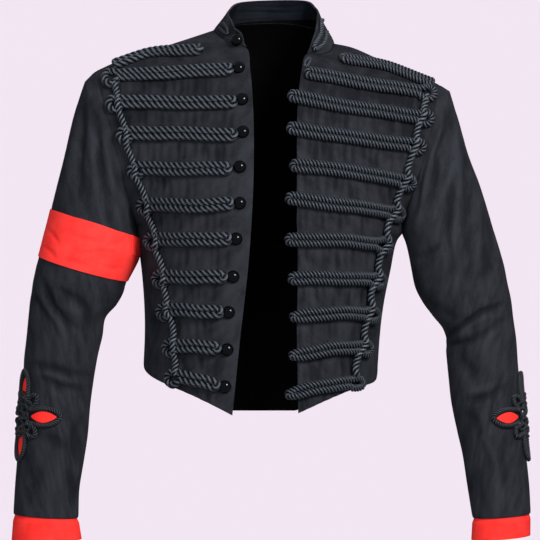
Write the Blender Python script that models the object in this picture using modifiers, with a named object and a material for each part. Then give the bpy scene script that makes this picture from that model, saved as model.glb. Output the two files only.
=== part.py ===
# A waist-length hussar jacket, open at the front and filled out with nobody in it.
# Metres, +Z up, the chest faces -Y. Right and left are the wearer's, so the right
# side lies at negative X. The origin lies between the two points where the shoulder
# seams meet the collar, because the jacket hangs from the shoulders.

import math
from collections import namedtuple
from functools import lru_cache

import bmesh
import bpy
import numpy as np

MM = 0.001

# Driving dimensions, in millimetres
CLOTH_WALL = 2.0
COLLAR_WALL = 2.6
CUFF_WALL = 1.5
BAND_WALL = 1.2
LEAF_WALL = 1.0
SEAM_GAP = 0.3
SEAT_GAP = 0.35

CORD_RADIUS = 4.7
CORD_PAIR_HALF = 4.95          # from the middle of a row to the middle of each of its cords
KNOT_CORD_RADIUS = 3.4
CORD_LIFT = 0.15               # a cord's straight runs sink this much between their points
COLLAR_CORD_LIFT = 0.8
BUTTON_LIFT = 0.15
COLLAR_BUTTON_LIFT = 3.7

BUTTON_RADIUS = 8.0
BUTTON_HEIGHT = 6.5

SHOULDER_Y = 4.0               # the shoulder seam lies this far behind the origin
ARMHOLE_FRONT = 56.0           # how far the armhole reaches forward and back
ARMHOLE_BACK = 60.0
NECK_SHARE = 1.0 / 3.0         # the part of the back's top edge that the neck takes, each side
COLLAR_HOLLOW = 0.8            # the collar's sides curve in between base and top

SIGN = {"right": -1.0, "left": 1.0}

# Rows of the fronts and the back run from the shoulder seam, 0, past the underarm,
# 6, to the hem, 9. The front edge of a front starts at the neck point, follows the
# neckline to the collar's end at row 2, and goes down to the hem's point.
EdgeRow = namedtuple("EdgeRow", "row x y z")

FRONT_EDGE = {
    "right": [
        EdgeRow(0.0, -74, 6, 9),
        EdgeRow(1.0, -61, -27, -3),
        EdgeRow(1.5, -48, -45, -12),
        EdgeRow(2.0, -31, -56, -15),
        EdgeRow(3.0, -24, -78, -46),
        EdgeRow(4.0, -20, -99, -100),
        EdgeRow(5.0, -19, -113, -161),
        EdgeRow(6.0, -21, -119, -231),
        EdgeRow(7.0, -27, -117, -316),
        EdgeRow(8.0, -37, -112, -404),
        EdgeRow(9.0, -48, -106, -512),
    ],
    "left": [
        EdgeRow(0.0, 90, 6, -9),
        EdgeRow(1.0, 83, -24, -20),
        EdgeRow(1.5, 72, -40, -24),
        EdgeRow(2.0, 55, -54, -23),
        EdgeRow(3.0, 45, -78, -50),
        EdgeRow(4.0, 40, -99, -100),
        EdgeRow(5.0, 39, -113, -161),
        EdgeRow(6.0, 39, -119, -231),
        EdgeRow(7.0, 40, -117, -316),
        EdgeRow(8.0, 39, -112, -404),
        EdgeRow(9.0, 41, -106, -509),
    ],
}

BACK_MIDDLE = [
    EdgeRow(0.0, 8, 66, 20),
    EdgeRow(1.0, 7, 84, -8),
    EdgeRow(2.0, 6, 97, -45),
    EdgeRow(3.0, 5, 106, -95),
    EdgeRow(4.0, 4, 109, -145),
    EdgeRow(5.0, 2, 107, -195),
    EdgeRow(6.0, 0, 101, -250),
    EdgeRow(7.0, -2, 91, -320),
    EdgeRow(8.0, -4, 84, -390),
    EdgeRow(9.0, -5, 87, -507),
]

SIDE_SEAM = {
    "right": [
        EdgeRow(6.0, -178, 4, -257),
        EdgeRow(6.5, -174, 3, -286),
        EdgeRow(7.0, -171, 4, -319),
        EdgeRow(8.0, -167, 5, -386),
        EdgeRow(9.0, -169, 6, -446),
    ],
    "left": [
        EdgeRow(6.0, 182, 4, -251),
        EdgeRow(6.5, 175, 3, -276),
        EdgeRow(7.0, 166, 4, -316),
        EdgeRow(8.0, 154, 5, -381),
        EdgeRow(9.0, 148, 6, -460),
    ],
}

# How far each row has turned towards the side where it meets the armhole or side seam
TurnRow = namedtuple("TurnRow", "row degrees")
ROW_TURN = [
    TurnRow(0, 12), TurnRow(1, 22), TurnRow(2, 35), TurnRow(3, 48),
    TurnRow(4, 60), TurnRow(5, 74), TurnRow(6, 86), TurnRow(9, 88),
]
SHOULDER_FADE_ROW = 2.5        # the shoulder's own shape has faded out at this row
BACK_FADE_ROW = 3.0
HEM_START_ROW = 7.0
BACK_HEM_FLAT = 0.28           # the middle part of the back's hem is level

# How far the shoulder seam bows up above a straight line, from the neck to the armhole
RiseRow = namedtuple("RiseRow", "share rise")
SHOULDER_RISE = {
    "right": [RiseRow(0, 0), RiseRow(0.3, 1), RiseRow(0.6, 2.5), RiseRow(0.85, 3), RiseRow(1, 0)],
    "left": [RiseRow(0, 0), RiseRow(0.15, 4), RiseRow(0.4, 3), RiseRow(0.8, 2), RiseRow(1, 0)],
}

# How far the front hem sags below a straight line, and how near to the side
Sag = namedtuple("Sag", "depth power")
HEM_SAG = {"right": Sag(8.0, 1.8), "left": Sag(5.5, 3.0)}

Armhole = namedtuple("Armhole", "tip_x tip_z under_x under_z bow")
ARMHOLES = {
    "right": Armhole(-234, -47, -178, -257, 0),
    "left": Armhole(232, -65, 182, -251, 5),
}

ROWS_DOWN = [0, 0.5, 1, 1.5, 2, 2.67, 3.33, 4, 4.67, 5.33, 6, 6.5, 7, 7.5, 8, 8.5, 9]
UNDERARM_INDEX = 10
FRONT_COLUMNS = 8
NECK_COLUMNS = 3
SHOULDER_COLUMNS = 6

# The collar's top edge, at stations from the right end, -3, round the back, 0, to
# the left end, 3. The neck points are at -1 and 1.
StationRow = namedtuple("StationRow", "station x y z")
COLLAR_TOP = [
    StationRow(-3.0, -47, -50, 9),
    StationRow(-2.0, -51, -22, 23),
    StationRow(-1.0, -53, 8, 37),
    StationRow(-0.5, -40, 46, 47),
    StationRow(0.0, 6, 60, 49),
    StationRow(0.5, 52, 46, 48),
    StationRow(1.0, 65, 8, 40),
    StationRow(2.0, 68, -20, 26),
    StationRow(3.0, 67, -46, 7),
]
COLLAR_STATIONS = [-3, -2.5, -2, -1.5, -1, -0.667, -0.333, 0, 0.333, 0.667, 1, 1.5, 2, 2.5, 3]

# Rings of the sleeves below the armhole, ring 0, to the hem, ring 19: the outer and the
# inner end of each ring as seen from the front
RingRow = namedtuple("RingRow", "outer_x outer_z inner_x inner_z")
SLEEVE_RINGS = {
    "right": [
        RingRow(-248, -61, -178.6, -260),
        RingRow(-256, -85, -179.0, -263),
        RingRow(-267, -123, -179.2, -266),
        RingRow(-277, -163, -179.3, -270),
        RingRow(-286, -200, -179.2, -274),
        RingRow(-294, -236, -179.0, -279),
        RingRow(-302, -267, -180.5, -300),
        RingRow(-310, -298, -191, -331),
        RingRow(-316, -319, -196, -347),
        RingRow(-321, -348, -205, -363),
        RingRow(-324, -377, -216, -381),
        RingRow(-327, -408, -224, -406),
        RingRow(-330, -435, -230, -431),
        RingRow(-331, -460, -235, -460),
        RingRow(-333, -498, -240, -497),
        RingRow(-336, -536, -243, -537),
        RingRow(-339, -570, -248, -570),
        RingRow(-342, -609, -254, -608),
        RingRow(-344, -645, -256, -650),
    ],
    "left": [
        RingRow(244, -76, 183.0, -254),
        RingRow(252, -94, 183.6, -258),
        RingRow(263, -132, 184.0, -262),
        RingRow(275, -170, 184.3, -266),
        RingRow(288, -204, 184.8, -271),
        RingRow(298, -234, 186.5, -279),
        RingRow(309, -273, 190, -294),
        RingRow(319, -308, 194, -315),
        RingRow(324, -333, 199, -339),
        RingRow(329, -356, 208, -358),
        RingRow(332, -381, 222, -378),
        RingRow(336, -410, 235, -400),
        RingRow(338, -440, 241, -429),
        RingRow(340, -464, 244, -460),
        RingRow(343, -498, 248, -496),
        RingRow(346, -532, 256, -535),
        RingRow(349, -566, 263, -566),
        RingRow(353, -606, 269, -606),
        RingRow(355, -644, 276, -650),
    ],
}

# Front to back, the same rings: the middle, the half depth, and how much lower the
# front of the ring is than its middle
DepthRow = namedtuple("DepthRow", "middle_y depth drop")
SLEEVE_DEPTHS = [
    DepthRow(4, 58, 0), DepthRow(4, 59, 0), DepthRow(3, 60, 1), DepthRow(2, 62, 1),
    DepthRow(0, 62, 2), DepthRow(-1, 61, 3), DepthRow(-2, 60, 4), DepthRow(-3, 58, 5),
    DepthRow(-2, 57, 5), DepthRow(-2, 55, 4), DepthRow(-2, 54, 3), DepthRow(-4, 52, 3),
    DepthRow(-7, 51, 3), DepthRow(-10, 50, 4), DepthRow(-15, 48, 4), DepthRow(-20, 45, 4),
    DepthRow(-25, 42, 4), DepthRow(-31, 40, 4), DepthRow(-37, 38, 3),
]
HEM_RING = 19

# The largest folds of the sleeves: the middle of each, how deep it is, how far it
# reaches along and round the sleeve, and how many rings it climbs in a full turn
FoldRow = namedtuple("FoldRow", "ring degrees depth ring_reach degrees_reach climb")
SLEEVE_FOLDS = {
    "right": [
        FoldRow(4.6, 100, 3.0, 1.9, 17, 0.0),
        FoldRow(4.4, 140, 2.6, 1.8, 18, 0.0),
        FoldRow(10.2, 52, 3.4, 0.6, 42, 7.0),
        FoldRow(11.8, 128, 3.0, 0.6, 38, -6.0),
        FoldRow(15.0, 120, 2.2, 0.8, 45, 6.0),
    ],
    "left": [
        FoldRow(4.8, 98, 3.0, 2.0, 17, 0.0),
        FoldRow(4.2, 64, 2.4, 1.8, 17, 0.0),
        FoldRow(11.0, 118, 3.4, 0.6, 44, -7.0),
        FoldRow(13.6, 104, 2.8, 0.6, 42, -6.0),
        FoldRow(16.2, 70, 2.0, 0.8, 40, 5.0),
    ],
}
BAND_RINGS = [6, 7, 8]
BAND_SIDE = "right"

# The red cuffs' lower ends, as the rings above, and their way out of the sleeve:
# share is 0 at the black hem and 1 at the lower end, growth widens the ring
CUFF_ENDS = {
    "right": RingRow(-346, -681, -252, -679),
    "left": RingRow(354, -674, 275, -680),
}
CuffRow = namedtuple("CuffRow", "share growth")
CUFF_ROWS = [
    CuffRow(-0.3, -4.5), CuffRow(-0.02, -2.8), CuffRow(0.25, 0.0), CuffRow(1.0, 0.5),
]

# Rows of doubled cord: where the middle of the pair starts at the front edge, its
# middle, its end near the armhole, and the top of the single run that comes down to
# it from the row above. The first row lies along the shoulder.
FrogRow = namedtuple("FrogRow", "inner_x inner_z mid_x mid_z outer_x outer_z link_x link_z")
FROGS = {
    "right": [
        FrogRow(-96, -18, -158, -21, -209, -37, None, None),
        FrogRow(-60.5, -45, -132, -49, -208, -54, None, None),
        FrogRow(-54, -90, -132, -90, -202, -88, -206, -72),
        FrogRow(-53, -134, -119, -132, -188, -130, -199, -105),
        FrogRow(-57, -179, -112, -180, -173, -179, -185, -151),
        FrogRow(-57, -227, -105, -230, -161, -227, -171, -198),
        FrogRow(-62, -274, -105, -275, -151, -274, -159, -246),
        FrogRow(-66, -325, -103, -326, -140, -325, -148, -293),
        FrogRow(-72, -373, -103, -371, -134, -369, -139, -344),
        FrogRow(-74, -421, -99, -419, -126, -418, -131, -389),
        FrogRow(-77, -470, -97, -464, -123, -459, -125, -438),
    ],
    "left": [
        FrogRow(105, -30, 162, -40, 217, -59, None, None),
        FrogRow(57.5, -45, 119, -59, 209, -75, None, None),
        FrogRow(34.5, -82, 119, -97, 205, -109, 209, -93),
        FrogRow(33.5, -125, 119, -138, 194, -147, 201, -128),
        FrogRow(37, -175, 119, -184, 181, -196, 190, -167),
        FrogRow(31, -220, 104, -229, 166, -238, 176, -216),
        FrogRow(32.3, -275, 104, -276, 149, -281, 157, -259),
        FrogRow(35, -327, 90, -327, 141, -329, 146, -302),
        FrogRow(37, -379, 90, -374, 133, -375, 138, -350),
        FrogRow(36, -430, 90, -422, 126, -420, 131, -396),
        FrogRow(32, -482, 77, -472, 115, -468, 122, -441),
    ],
}
FROG_TRACK_POINTS = 8
SHOULDER_FROG = 0

# The loop at the outer end of a row: steps out from the row's end and down from it
LoopStep = namedtuple("LoopStep", "out down")
OUTER_LOOP = [
    LoopStep(2, -14), LoopStep(5, -9), LoopStep(10, -5.5), LoopStep(13, 0),
    LoopStep(12, 6), LoopStep(7, 9.5), LoopStep(1, 8.5),
]
FIRST_LOOP_DROP = 0.6            # the loop of the row below the shoulder hangs less
UPPER_TRACK_SHORTFALL = 5.0
LOWER_TRACK_INSET = 6.0

BUTTON_PLACES = [
    (-42, -43), (-35, -86), (-34, -130), (-38, -177), (-38, -226),
    (-43, -274), (-47, -325), (-53, -373), (-55, -423), (-58, -473),
]
COLLAR_BUTTON_STATION = -2.72
COLLAR_BUTTON_HEIGHT = 0.40

# The collar's cords, as stations and shares of the collar's height
CollarCord = namedtuple("CollarCord", "inner_station outer_station")
COLLAR_CORDS = {"right": CollarCord(-2.15, -1.5), "left": CollarCord(2.85, 1.6)}
COLLAR_CORD_HEIGHT = 0.42
COLLAR_CORD_HALF = 0.14
COLLAR_CORD_RADIUS = 2.4

# A sleeve knot: its middle, then one quarter of the cord's outline, as steps along a
# lobe and across it. Four quarters, turned by 90 degrees, close the outline.
KNOT_MIDDLE_TURN = {"right": 25.0, "left": 9.0}
KNOT_MIDDLE_Z = {"right": -513.0, "left": -514.0}
LobeStep = namedtuple("LobeStep", "along across")
KNOT_QUARTER = [
    LobeStep(19, -9), LobeStep(28, -10.5), LobeStep(40, -11.2), LobeStep(51, -7.5),
    LobeStep(57, 0), LobeStep(51, 7.5), LobeStep(40, 11.2), LobeStep(28, 10.5),
    LobeStep(19, 9), LobeStep(27, 18), LobeStep(27, 27), LobeStep(18, 27),
]
LEAF_START = 20.0
LEAF_LENGTH = 32.0
LEAF_HALF_WIDTH = 7.2
LEAF_TIP = 0.8
LEAF_STEPS = 6

Finish = namedtuple("Finish", "colour roughness metallic")
FINISHES = {
    "black_wool": Finish((0.021, 0.022, 0.028), 0.9, 0.0),
    "black_cord": Finish((0.035, 0.038, 0.047), 0.5, 0.0),
    "red_cloth": Finish((0.90, 0.045, 0.036), 0.75, 0.0),
    "black_gloss": Finish((0.008, 0.008, 0.010), 0.12, 0.0),
}

COLLECTION_NAME = "hussar_jacket"


def clear_scene():
    for thing in list(bpy.data.objects):
        bpy.data.objects.remove(thing, do_unlink=True)


def make_collection():
    collection = bpy.data.collections.new(COLLECTION_NAME)
    bpy.context.scene.collection.children.link(collection)
    return collection


def make_material(finish_name):
    finish = FINISHES[finish_name]
    material = bpy.data.materials.new(finish_name)
    material.use_nodes = True
    shader = material.node_tree.nodes["Principled BSDF"]
    shader.inputs["Base Color"].default_value = (*finish.colour, 1.0)
    shader.inputs["Roughness"].default_value = finish.roughness
    shader.inputs["Metallic"].default_value = finish.metallic
    return material


def unit(vector):
    return vector / np.linalg.norm(vector)


# Reads a table at any key between its rows, on a smooth curve through them. The
# first column is the key.
def smooth(table, key):
    rows = np.array(table, dtype=float)
    keys = rows[:, 0]
    values = rows[:, 1:]
    slopes = np.gradient(values, keys, axis=0)
    low = int(np.clip(np.searchsorted(keys, key, side="right") - 1, 0, len(keys) - 2))
    span = keys[low + 1] - keys[low]
    t = (key - keys[low]) / span
    start_weight = (1 + 2 * t) * (1 - t) ** 2
    end_weight = t * t * (3 - 2 * t)
    start_slope = t * (1 - t) ** 2 * span
    end_slope = t * t * (t - 1) * span
    return (values[low] * start_weight + values[low + 1] * end_weight
            + slopes[low] * start_slope + slopes[low + 1] * end_slope)


# Armhole and side seam

def armhole_point(side, turn):
    hole = ARMHOLES[side]
    share = (1 + math.cos(turn)) / 2
    bow = SIGN[side] * hole.bow * math.sin(turn) ** 2
    reach = ARMHOLE_FRONT if math.sin(turn) > 0 else ARMHOLE_BACK
    return np.array([
        hole.under_x + (hole.tip_x - hole.under_x) * share + bow,
        SHOULDER_Y - reach * math.sin(turn),
        hole.under_z + (hole.tip_z - hole.under_z) * share,
    ])


def armhole_middle(side):
    return (armhole_point(side, 0.0) + armhole_point(side, math.pi)) / 2


# Which way the wall's thickness runs at the armhole, for the body or for the sleeve
def armhole_inward(side, turn, part):
    to_middle = unit(armhole_middle(side) - armhole_point(side, turn))
    low = 1 - math.cos(turn)
    if part == "body":
        return unit(to_middle + np.array([-SIGN[side] * 0.9 * low, 0, 0]))
    return unit(to_middle + np.array([SIGN[side] * 0.35 * low, 0, 0]))


def row_to_turn(row, behind):
    turn = math.pi * row / ROWS_DOWN[UNDERARM_INDEX]
    return 2 * math.pi - turn if behind else turn


def side_point(side, row, behind):
    if row <= ROWS_DOWN[UNDERARM_INDEX]:
        return armhole_point(side, row_to_turn(row, behind))
    return smooth(SIDE_SEAM[side], row)


# A row of a panel as part of an ellipse, from its straight-on edge to its side
def section_point(edge, rim, row, across):
    whole_turn = math.radians(float(smooth(ROW_TURN, row)[0]))
    turn = whole_turn * across
    sideways = math.sin(turn) / math.sin(whole_turn)
    backward = (1 - math.cos(turn)) / (1 - math.cos(whole_turn))
    share = np.array([sideways, backward, sideways])
    return edge + (rim - edge) * share


def fade(row, last_row):
    return max(0.0, 1 - row / last_row) ** 2


def front_point(side, across, row):
    edge = smooth(FRONT_EDGE[side], row)
    point = section_point(edge, side_point(side, row, False), row, across)
    share = min(max(across, 0.0), 1.0)
    rise = float(smooth(SHOULDER_RISE[side], share)[0])
    point[2] += rise * fade(row, SHOULDER_FADE_ROW)
    if row > HEM_START_ROW:
        sag = HEM_SAG[side]
        lowered = (row - HEM_START_ROW) / (ROWS_DOWN[-1] - HEM_START_ROW)
        point[2] -= sag.depth * math.sin(math.pi * share ** sag.power) * lowered ** 2
    return point


# The back's top edge: half the neckline, then the shoulder seam
def back_top_point(side, across):
    if across >= NECK_SHARE:
        return front_point(side, (across - NECK_SHARE) / (1 - NECK_SHARE), 0)
    middle = smooth(BACK_MIDDLE, 0)
    neck = smooth(FRONT_EDGE[side], 0)
    turn = across / NECK_SHARE * math.pi / 2
    share = np.array([math.sin(turn), 1 - math.cos(turn), 1 - math.cos(turn)])
    return middle + (neck - middle) * share


# across runs from -1 at the right side to 1 at the left
def back_point(across, row):
    side = "right" if across < 0 else "left"
    reach = abs(across)
    middle = smooth(BACK_MIDDLE, row)
    rim = side_point(side, row, True)
    point = section_point(middle, rim, row, reach)
    if row > HEM_START_ROW:
        level = (row - HEM_START_ROW) / (ROWS_DOWN[-1] - HEM_START_ROW)
        sideways = abs((point[0] - middle[0]) / (rim[0] - middle[0]))
        climb = max(0.0, sideways - BACK_HEM_FLAT) / (1 - BACK_HEM_FLAT)
        point[2] += (middle[2] + (rim[2] - middle[2]) * climb - point[2]) * level
    top_middle = smooth(BACK_MIDDLE, 0)
    plain_top = section_point(top_middle, side_point(side, 0, True), 0, reach)
    own_top = back_top_point(side, reach)
    return point + (own_top - plain_top) * fade(row, BACK_FADE_ROW)


def collar_point(station, height):
    side = "right" if station < 0 else "left"
    if abs(station) >= 1:
        base = smooth(FRONT_EDGE[side], abs(station) - 1)
    else:
        base = back_top_point(side, NECK_SHARE * abs(station))
    base = base + np.array([0, 0, SEAM_GAP])
    top = smooth(COLLAR_TOP, station)
    point = base + (top - base) * height
    hollow = COLLAR_HOLLOW * math.sin(math.pi * height) * min(1.0, 3.2 - abs(station))
    axis = smooth(COLLAR_TOP, 0) * np.array([1, 0, 0])
    inward = axis - point
    inward[2] = 0
    return point + unit(inward) * hollow


# Sleeves: ring 0 is the armhole, and turn runs from the outer side over the front

def sleeve_section(side, ring):
    rings = [(index + 1, *row) for index, row in enumerate(SLEEVE_RINGS[side])]
    depths = [(index + 1, *row) for index, row in enumerate(SLEEVE_DEPTHS)]
    return smooth(rings, ring), smooth(depths, ring)


def ring_point(ends, depths, turn, growth=0.0):
    outer_x, outer_z, inner_x, inner_z = ends
    middle_y, depth, drop = depths
    half_x = (outer_x - inner_x) / 2
    half_z = (outer_z - inner_z) / 2
    wider = 1 + growth / math.hypot(half_x, half_z)
    return np.array([
        (outer_x + inner_x) / 2 + half_x * wider * math.cos(turn),
        middle_y - (depth + growth) * math.sin(turn),
        (outer_z + inner_z) / 2 + half_z * wider * math.cos(turn) - drop * math.sin(turn),
    ])


# How far the cloth sinks into the large folds at one place
def fold_depth(side, ring, turn):
    depth = 0.0
    for fold in SLEEVE_FOLDS[side]:
        away = (math.degrees(turn) - fold.degrees + 180) % 360 - 180
        along = ring - fold.ring - fold.climb * away / 360
        depth += fold.depth * math.exp(
            -(along / fold.ring_reach) ** 2 - (away / fold.degrees_reach) ** 2)
    return depth


def sleeve_point(side, ring, turn):
    if ring == 0:
        tip = armhole_point(side, 0.0)
        under = armhole_point(side, math.pi)
        down = unit(under - tip)
        away = np.array([-down[2], 0, down[0]]) * SIGN[side]
        return armhole_point(side, turn) + away * SEAM_GAP
    ends, depths = sleeve_section(side, ring)
    return ring_point(ends, depths, turn, -fold_depth(side, ring, turn))


def ring_at_height(side, z):
    heights = [-(row.outer_z + row.inner_z) / 2 for row in SLEEVE_RINGS[side]]
    return float(np.interp(-z, heights, range(1, HEM_RING + 1)))


def sleeve_turns():
    turns = [row_to_turn(row, False) for row in ROWS_DOWN[:UNDERARM_INDEX + 1]]
    turns += [row_to_turn(row, True) for row in reversed(ROWS_DOWN[1:UNDERARM_INDEX])]
    return turns


# Walls of cloth: a grid of outer points and a grid of inner ones

def grid_normals(grid, round_trip, flip):
    down = np.gradient(grid, axis=0)
    if round_trip:
        across = np.roll(grid, -1, axis=1) - np.roll(grid, 1, axis=1)
    else:
        across = np.gradient(grid, axis=1)
    normals = np.cross(across, down) * flip
    return normals / np.linalg.norm(normals, axis=2, keepdims=True)


def make_object(name, mesh, material):
    mesh.materials.clear()
    mesh.materials.append(material)
    thing = bpy.data.objects.new(name, mesh)
    bpy.data.collections[COLLECTION_NAME].objects.link(thing)
    return thing


def make_wall(name, outer, inner, material, round_trip=False):
    rows, columns = outer.shape[:2]
    shape = bmesh.new()
    outer_verts = [[shape.verts.new(point * MM) for point in row] for row in outer]
    inner_verts = [[shape.verts.new(point * MM) for point in row] for row in inner]
    spans = columns if round_trip else columns - 1
    for row in range(rows - 1):
        for column in range(spans):
            beside = (column + 1) % columns
            for verts in (outer_verts, inner_verts):
                corners = (verts[row][column], verts[row][beside],
                           verts[row + 1][beside], verts[row + 1][column])
                shape.faces.new(corners)
    for row in (0, rows - 1):
        for column in range(spans):
            beside = (column + 1) % columns
            shape.faces.new((outer_verts[row][column], outer_verts[row][beside],
                             inner_verts[row][beside], inner_verts[row][column]))
    if not round_trip:
        for column in (0, columns - 1):
            for row in range(rows - 1):
                shape.faces.new((outer_verts[row][column], outer_verts[row + 1][column],
                                 inner_verts[row + 1][column], inner_verts[row][column]))
    bmesh.ops.recalc_face_normals(shape, faces=shape.faces)
    mesh = bpy.data.meshes.new(name)
    shape.to_mesh(mesh)
    shape.free()
    mesh.shade_smooth()
    mesh.set_sharp_from_angle(angle=math.radians(50))
    return make_object(name, mesh, material)


DOWNWARD = np.array([0.0, 0.0, -1.0])


def make_front(side, material):
    outer = np.array([
        [front_point(side, column / FRONT_COLUMNS, row) for column in range(FRONT_COLUMNS + 1)]
        for row in ROWS_DOWN
    ])
    inward = -grid_normals(outer, False, -SIGN[side])
    inward[0, :] = DOWNWARD
    for index, row in enumerate(ROWS_DOWN):
        if index <= UNDERARM_INDEX:
            inward[index, -1] = armhole_inward(side, row_to_turn(row, False), "body")
        else:
            inward[index, -1] = (-SIGN[side], 0, 0)
            outer[index, -1, 1] -= SEAM_GAP / 2
    outer[0, :, 1] -= SEAM_GAP / 2
    outer[UNDERARM_INDEX, -1, 1] -= SEAM_GAP / 2
    make_wall(f"front_{side}", outer, outer + inward * CLOTH_WALL, material)


def make_back(material):
    half = [NECK_SHARE * step / NECK_COLUMNS for step in range(NECK_COLUMNS)]
    half += [NECK_SHARE + (1 - NECK_SHARE) * step / SHOULDER_COLUMNS
             for step in range(SHOULDER_COLUMNS + 1)]
    columns = [-share for share in reversed(half[1:])] + half
    outer = np.array([[back_point(column, row) for column in columns] for row in ROWS_DOWN])
    inward = -grid_normals(outer, False, 1.0)
    inward[0, :SHOULDER_COLUMNS + 1] = DOWNWARD
    inward[0, -SHOULDER_COLUMNS - 1:] = DOWNWARD
    outer[0, :SHOULDER_COLUMNS + 1, 1] += SEAM_GAP / 2
    outer[0, -SHOULDER_COLUMNS - 1:, 1] += SEAM_GAP / 2
    for side, column in (("right", 0), ("left", -1)):
        for index, row in enumerate(ROWS_DOWN):
            if index <= UNDERARM_INDEX:
                inward[index, column] = armhole_inward(side, row_to_turn(row, True), "body")
            else:
                inward[index, column] = (-SIGN[side], 0, 0)
                outer[index, column, 1] += SEAM_GAP / 2
        outer[UNDERARM_INDEX, column, 1] += SEAM_GAP / 2
    make_wall("back", outer, outer + inward * CLOTH_WALL, material)


def make_collar(material):
    outer = np.array([[collar_point(station, height) for station in COLLAR_STATIONS]
                      for height in (1.0, 0.5, 0.0)])
    inward = -grid_normals(outer, False, 1.0)
    inward[:, :, 2] = 0
    inward /= np.linalg.norm(inward, axis=2, keepdims=True)
    make_wall("collar", outer, outer + inward * COLLAR_WALL, material)


def make_sleeve(side, material):
    turns = sleeve_turns()
    outer = np.array([[sleeve_point(side, ring, turn) for turn in turns]
                      for ring in range(HEM_RING + 1)])
    inward = -grid_normals(outer, True, SIGN[side])
    inward[0] = [armhole_inward(side, turn, "sleeve") for turn in turns]
    make_wall(f"sleeve_{side}", outer, outer + inward * CLOTH_WALL, material, True)


def make_armband(material):
    turns = sleeve_turns()
    rings = np.array([[sleeve_point(BAND_SIDE, ring, turn) for turn in turns]
                      for ring in BAND_RINGS])
    outward = grid_normals(rings, True, SIGN[BAND_SIDE])
    inner = rings + outward * SEAT_GAP
    outer = rings + outward * (SEAT_GAP + BAND_WALL)
    make_wall("armband", outer, inner, material, True)


def make_cuff(side, material):
    hem_ends, depths = sleeve_section(side, HEM_RING)
    lower_ends = np.array(CUFF_ENDS[side], dtype=float)
    turns = sleeve_turns()
    outer = np.array([
        [ring_point(hem_ends + (lower_ends - hem_ends) * row.share, depths, turn, row.growth)
         for turn in turns]
        for row in CUFF_ROWS
    ])
    inner = np.array([
        [ring_point(hem_ends + (lower_ends - hem_ends) * row.share, depths, turn,
                    row.growth - CUFF_WALL)
         for turn in turns]
        for row in CUFF_ROWS
    ])
    make_wall(f"cuff_{side}", outer, inner, material, True)


# Cords

def make_cord(name, points, radius, material, closed=False):
    curve = bpy.data.curves.new(name, "CURVE")
    curve.dimensions = "3D"
    curve.bevel_depth = radius * MM
    curve.bevel_resolution = 1
    curve.use_fill_caps = True
    spline = curve.splines.new("POLY")
    spline.points.add(len(points) - 1)
    for place, point in zip(spline.points, points):
        place.co = (*(point * MM), 1.0)
    spline.use_cyclic_u = closed
    curve.materials.append(material)
    thing = bpy.data.objects.new(name, curve)
    bpy.data.collections[COLLECTION_NAME].objects.link(thing)
    return thing


# A point of a surface with its outward direction; the surface takes two numbers
def surface_frame(surface, first, second, flip):
    step = 0.01
    point = surface(first, second)
    along_first = surface(first + step, second) - surface(first - step, second)
    along_second = surface(first, second + step) - surface(first, second - step)
    return point, unit(np.cross(along_first, along_second)) * flip


@lru_cache
def coarse_front(side):
    places = [(across, row) for across in np.linspace(0, 1, 9)
              for row in np.linspace(0.2, 8.8, 19)]
    return places, np.array([front_point(side, *place) for place in places])


# How a front's points move with across and with row, as the columns of a matrix
def front_slopes(side, across, row):
    step = 0.01
    by_across = front_point(side, across + step, row) - front_point(side, across - step, row)
    by_row = front_point(side, across, row + step) - front_point(side, across, row - step)
    return np.stack([by_across, by_row], axis=1) / (2 * step)


def front_outward(side, slopes):
    return unit(np.cross(slopes[:, 0], slopes[:, 1])) * -SIGN[side]


# Finds the place on a front that shows at x, z from straight ahead when it is lifted
def find_lifted(side, x, z, lift):
    places, points = coarse_front(side)
    nearest = np.argmin(np.hypot(points[:, 0] - x, points[:, 2] - z))
    across, row = places[nearest]
    for _ in range(7):
        slopes = front_slopes(side, across, row)
        point = front_point(side, across, row) + front_outward(side, slopes) * lift
        move = np.linalg.solve(slopes[[0, 2]], [x - point[0], z - point[2]])
        across = float(np.clip(across + move[0], -0.2, 0.99))
        row = float(np.clip(row + move[1], 0.02, 8.98))
    return across, row


def place_on_front(side, x, z, lift):
    across, row = find_lifted(side, x, z, lift)
    outward = front_outward(side, front_slopes(side, across, row))
    return front_point(side, across, row) + outward * lift, outward


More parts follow.
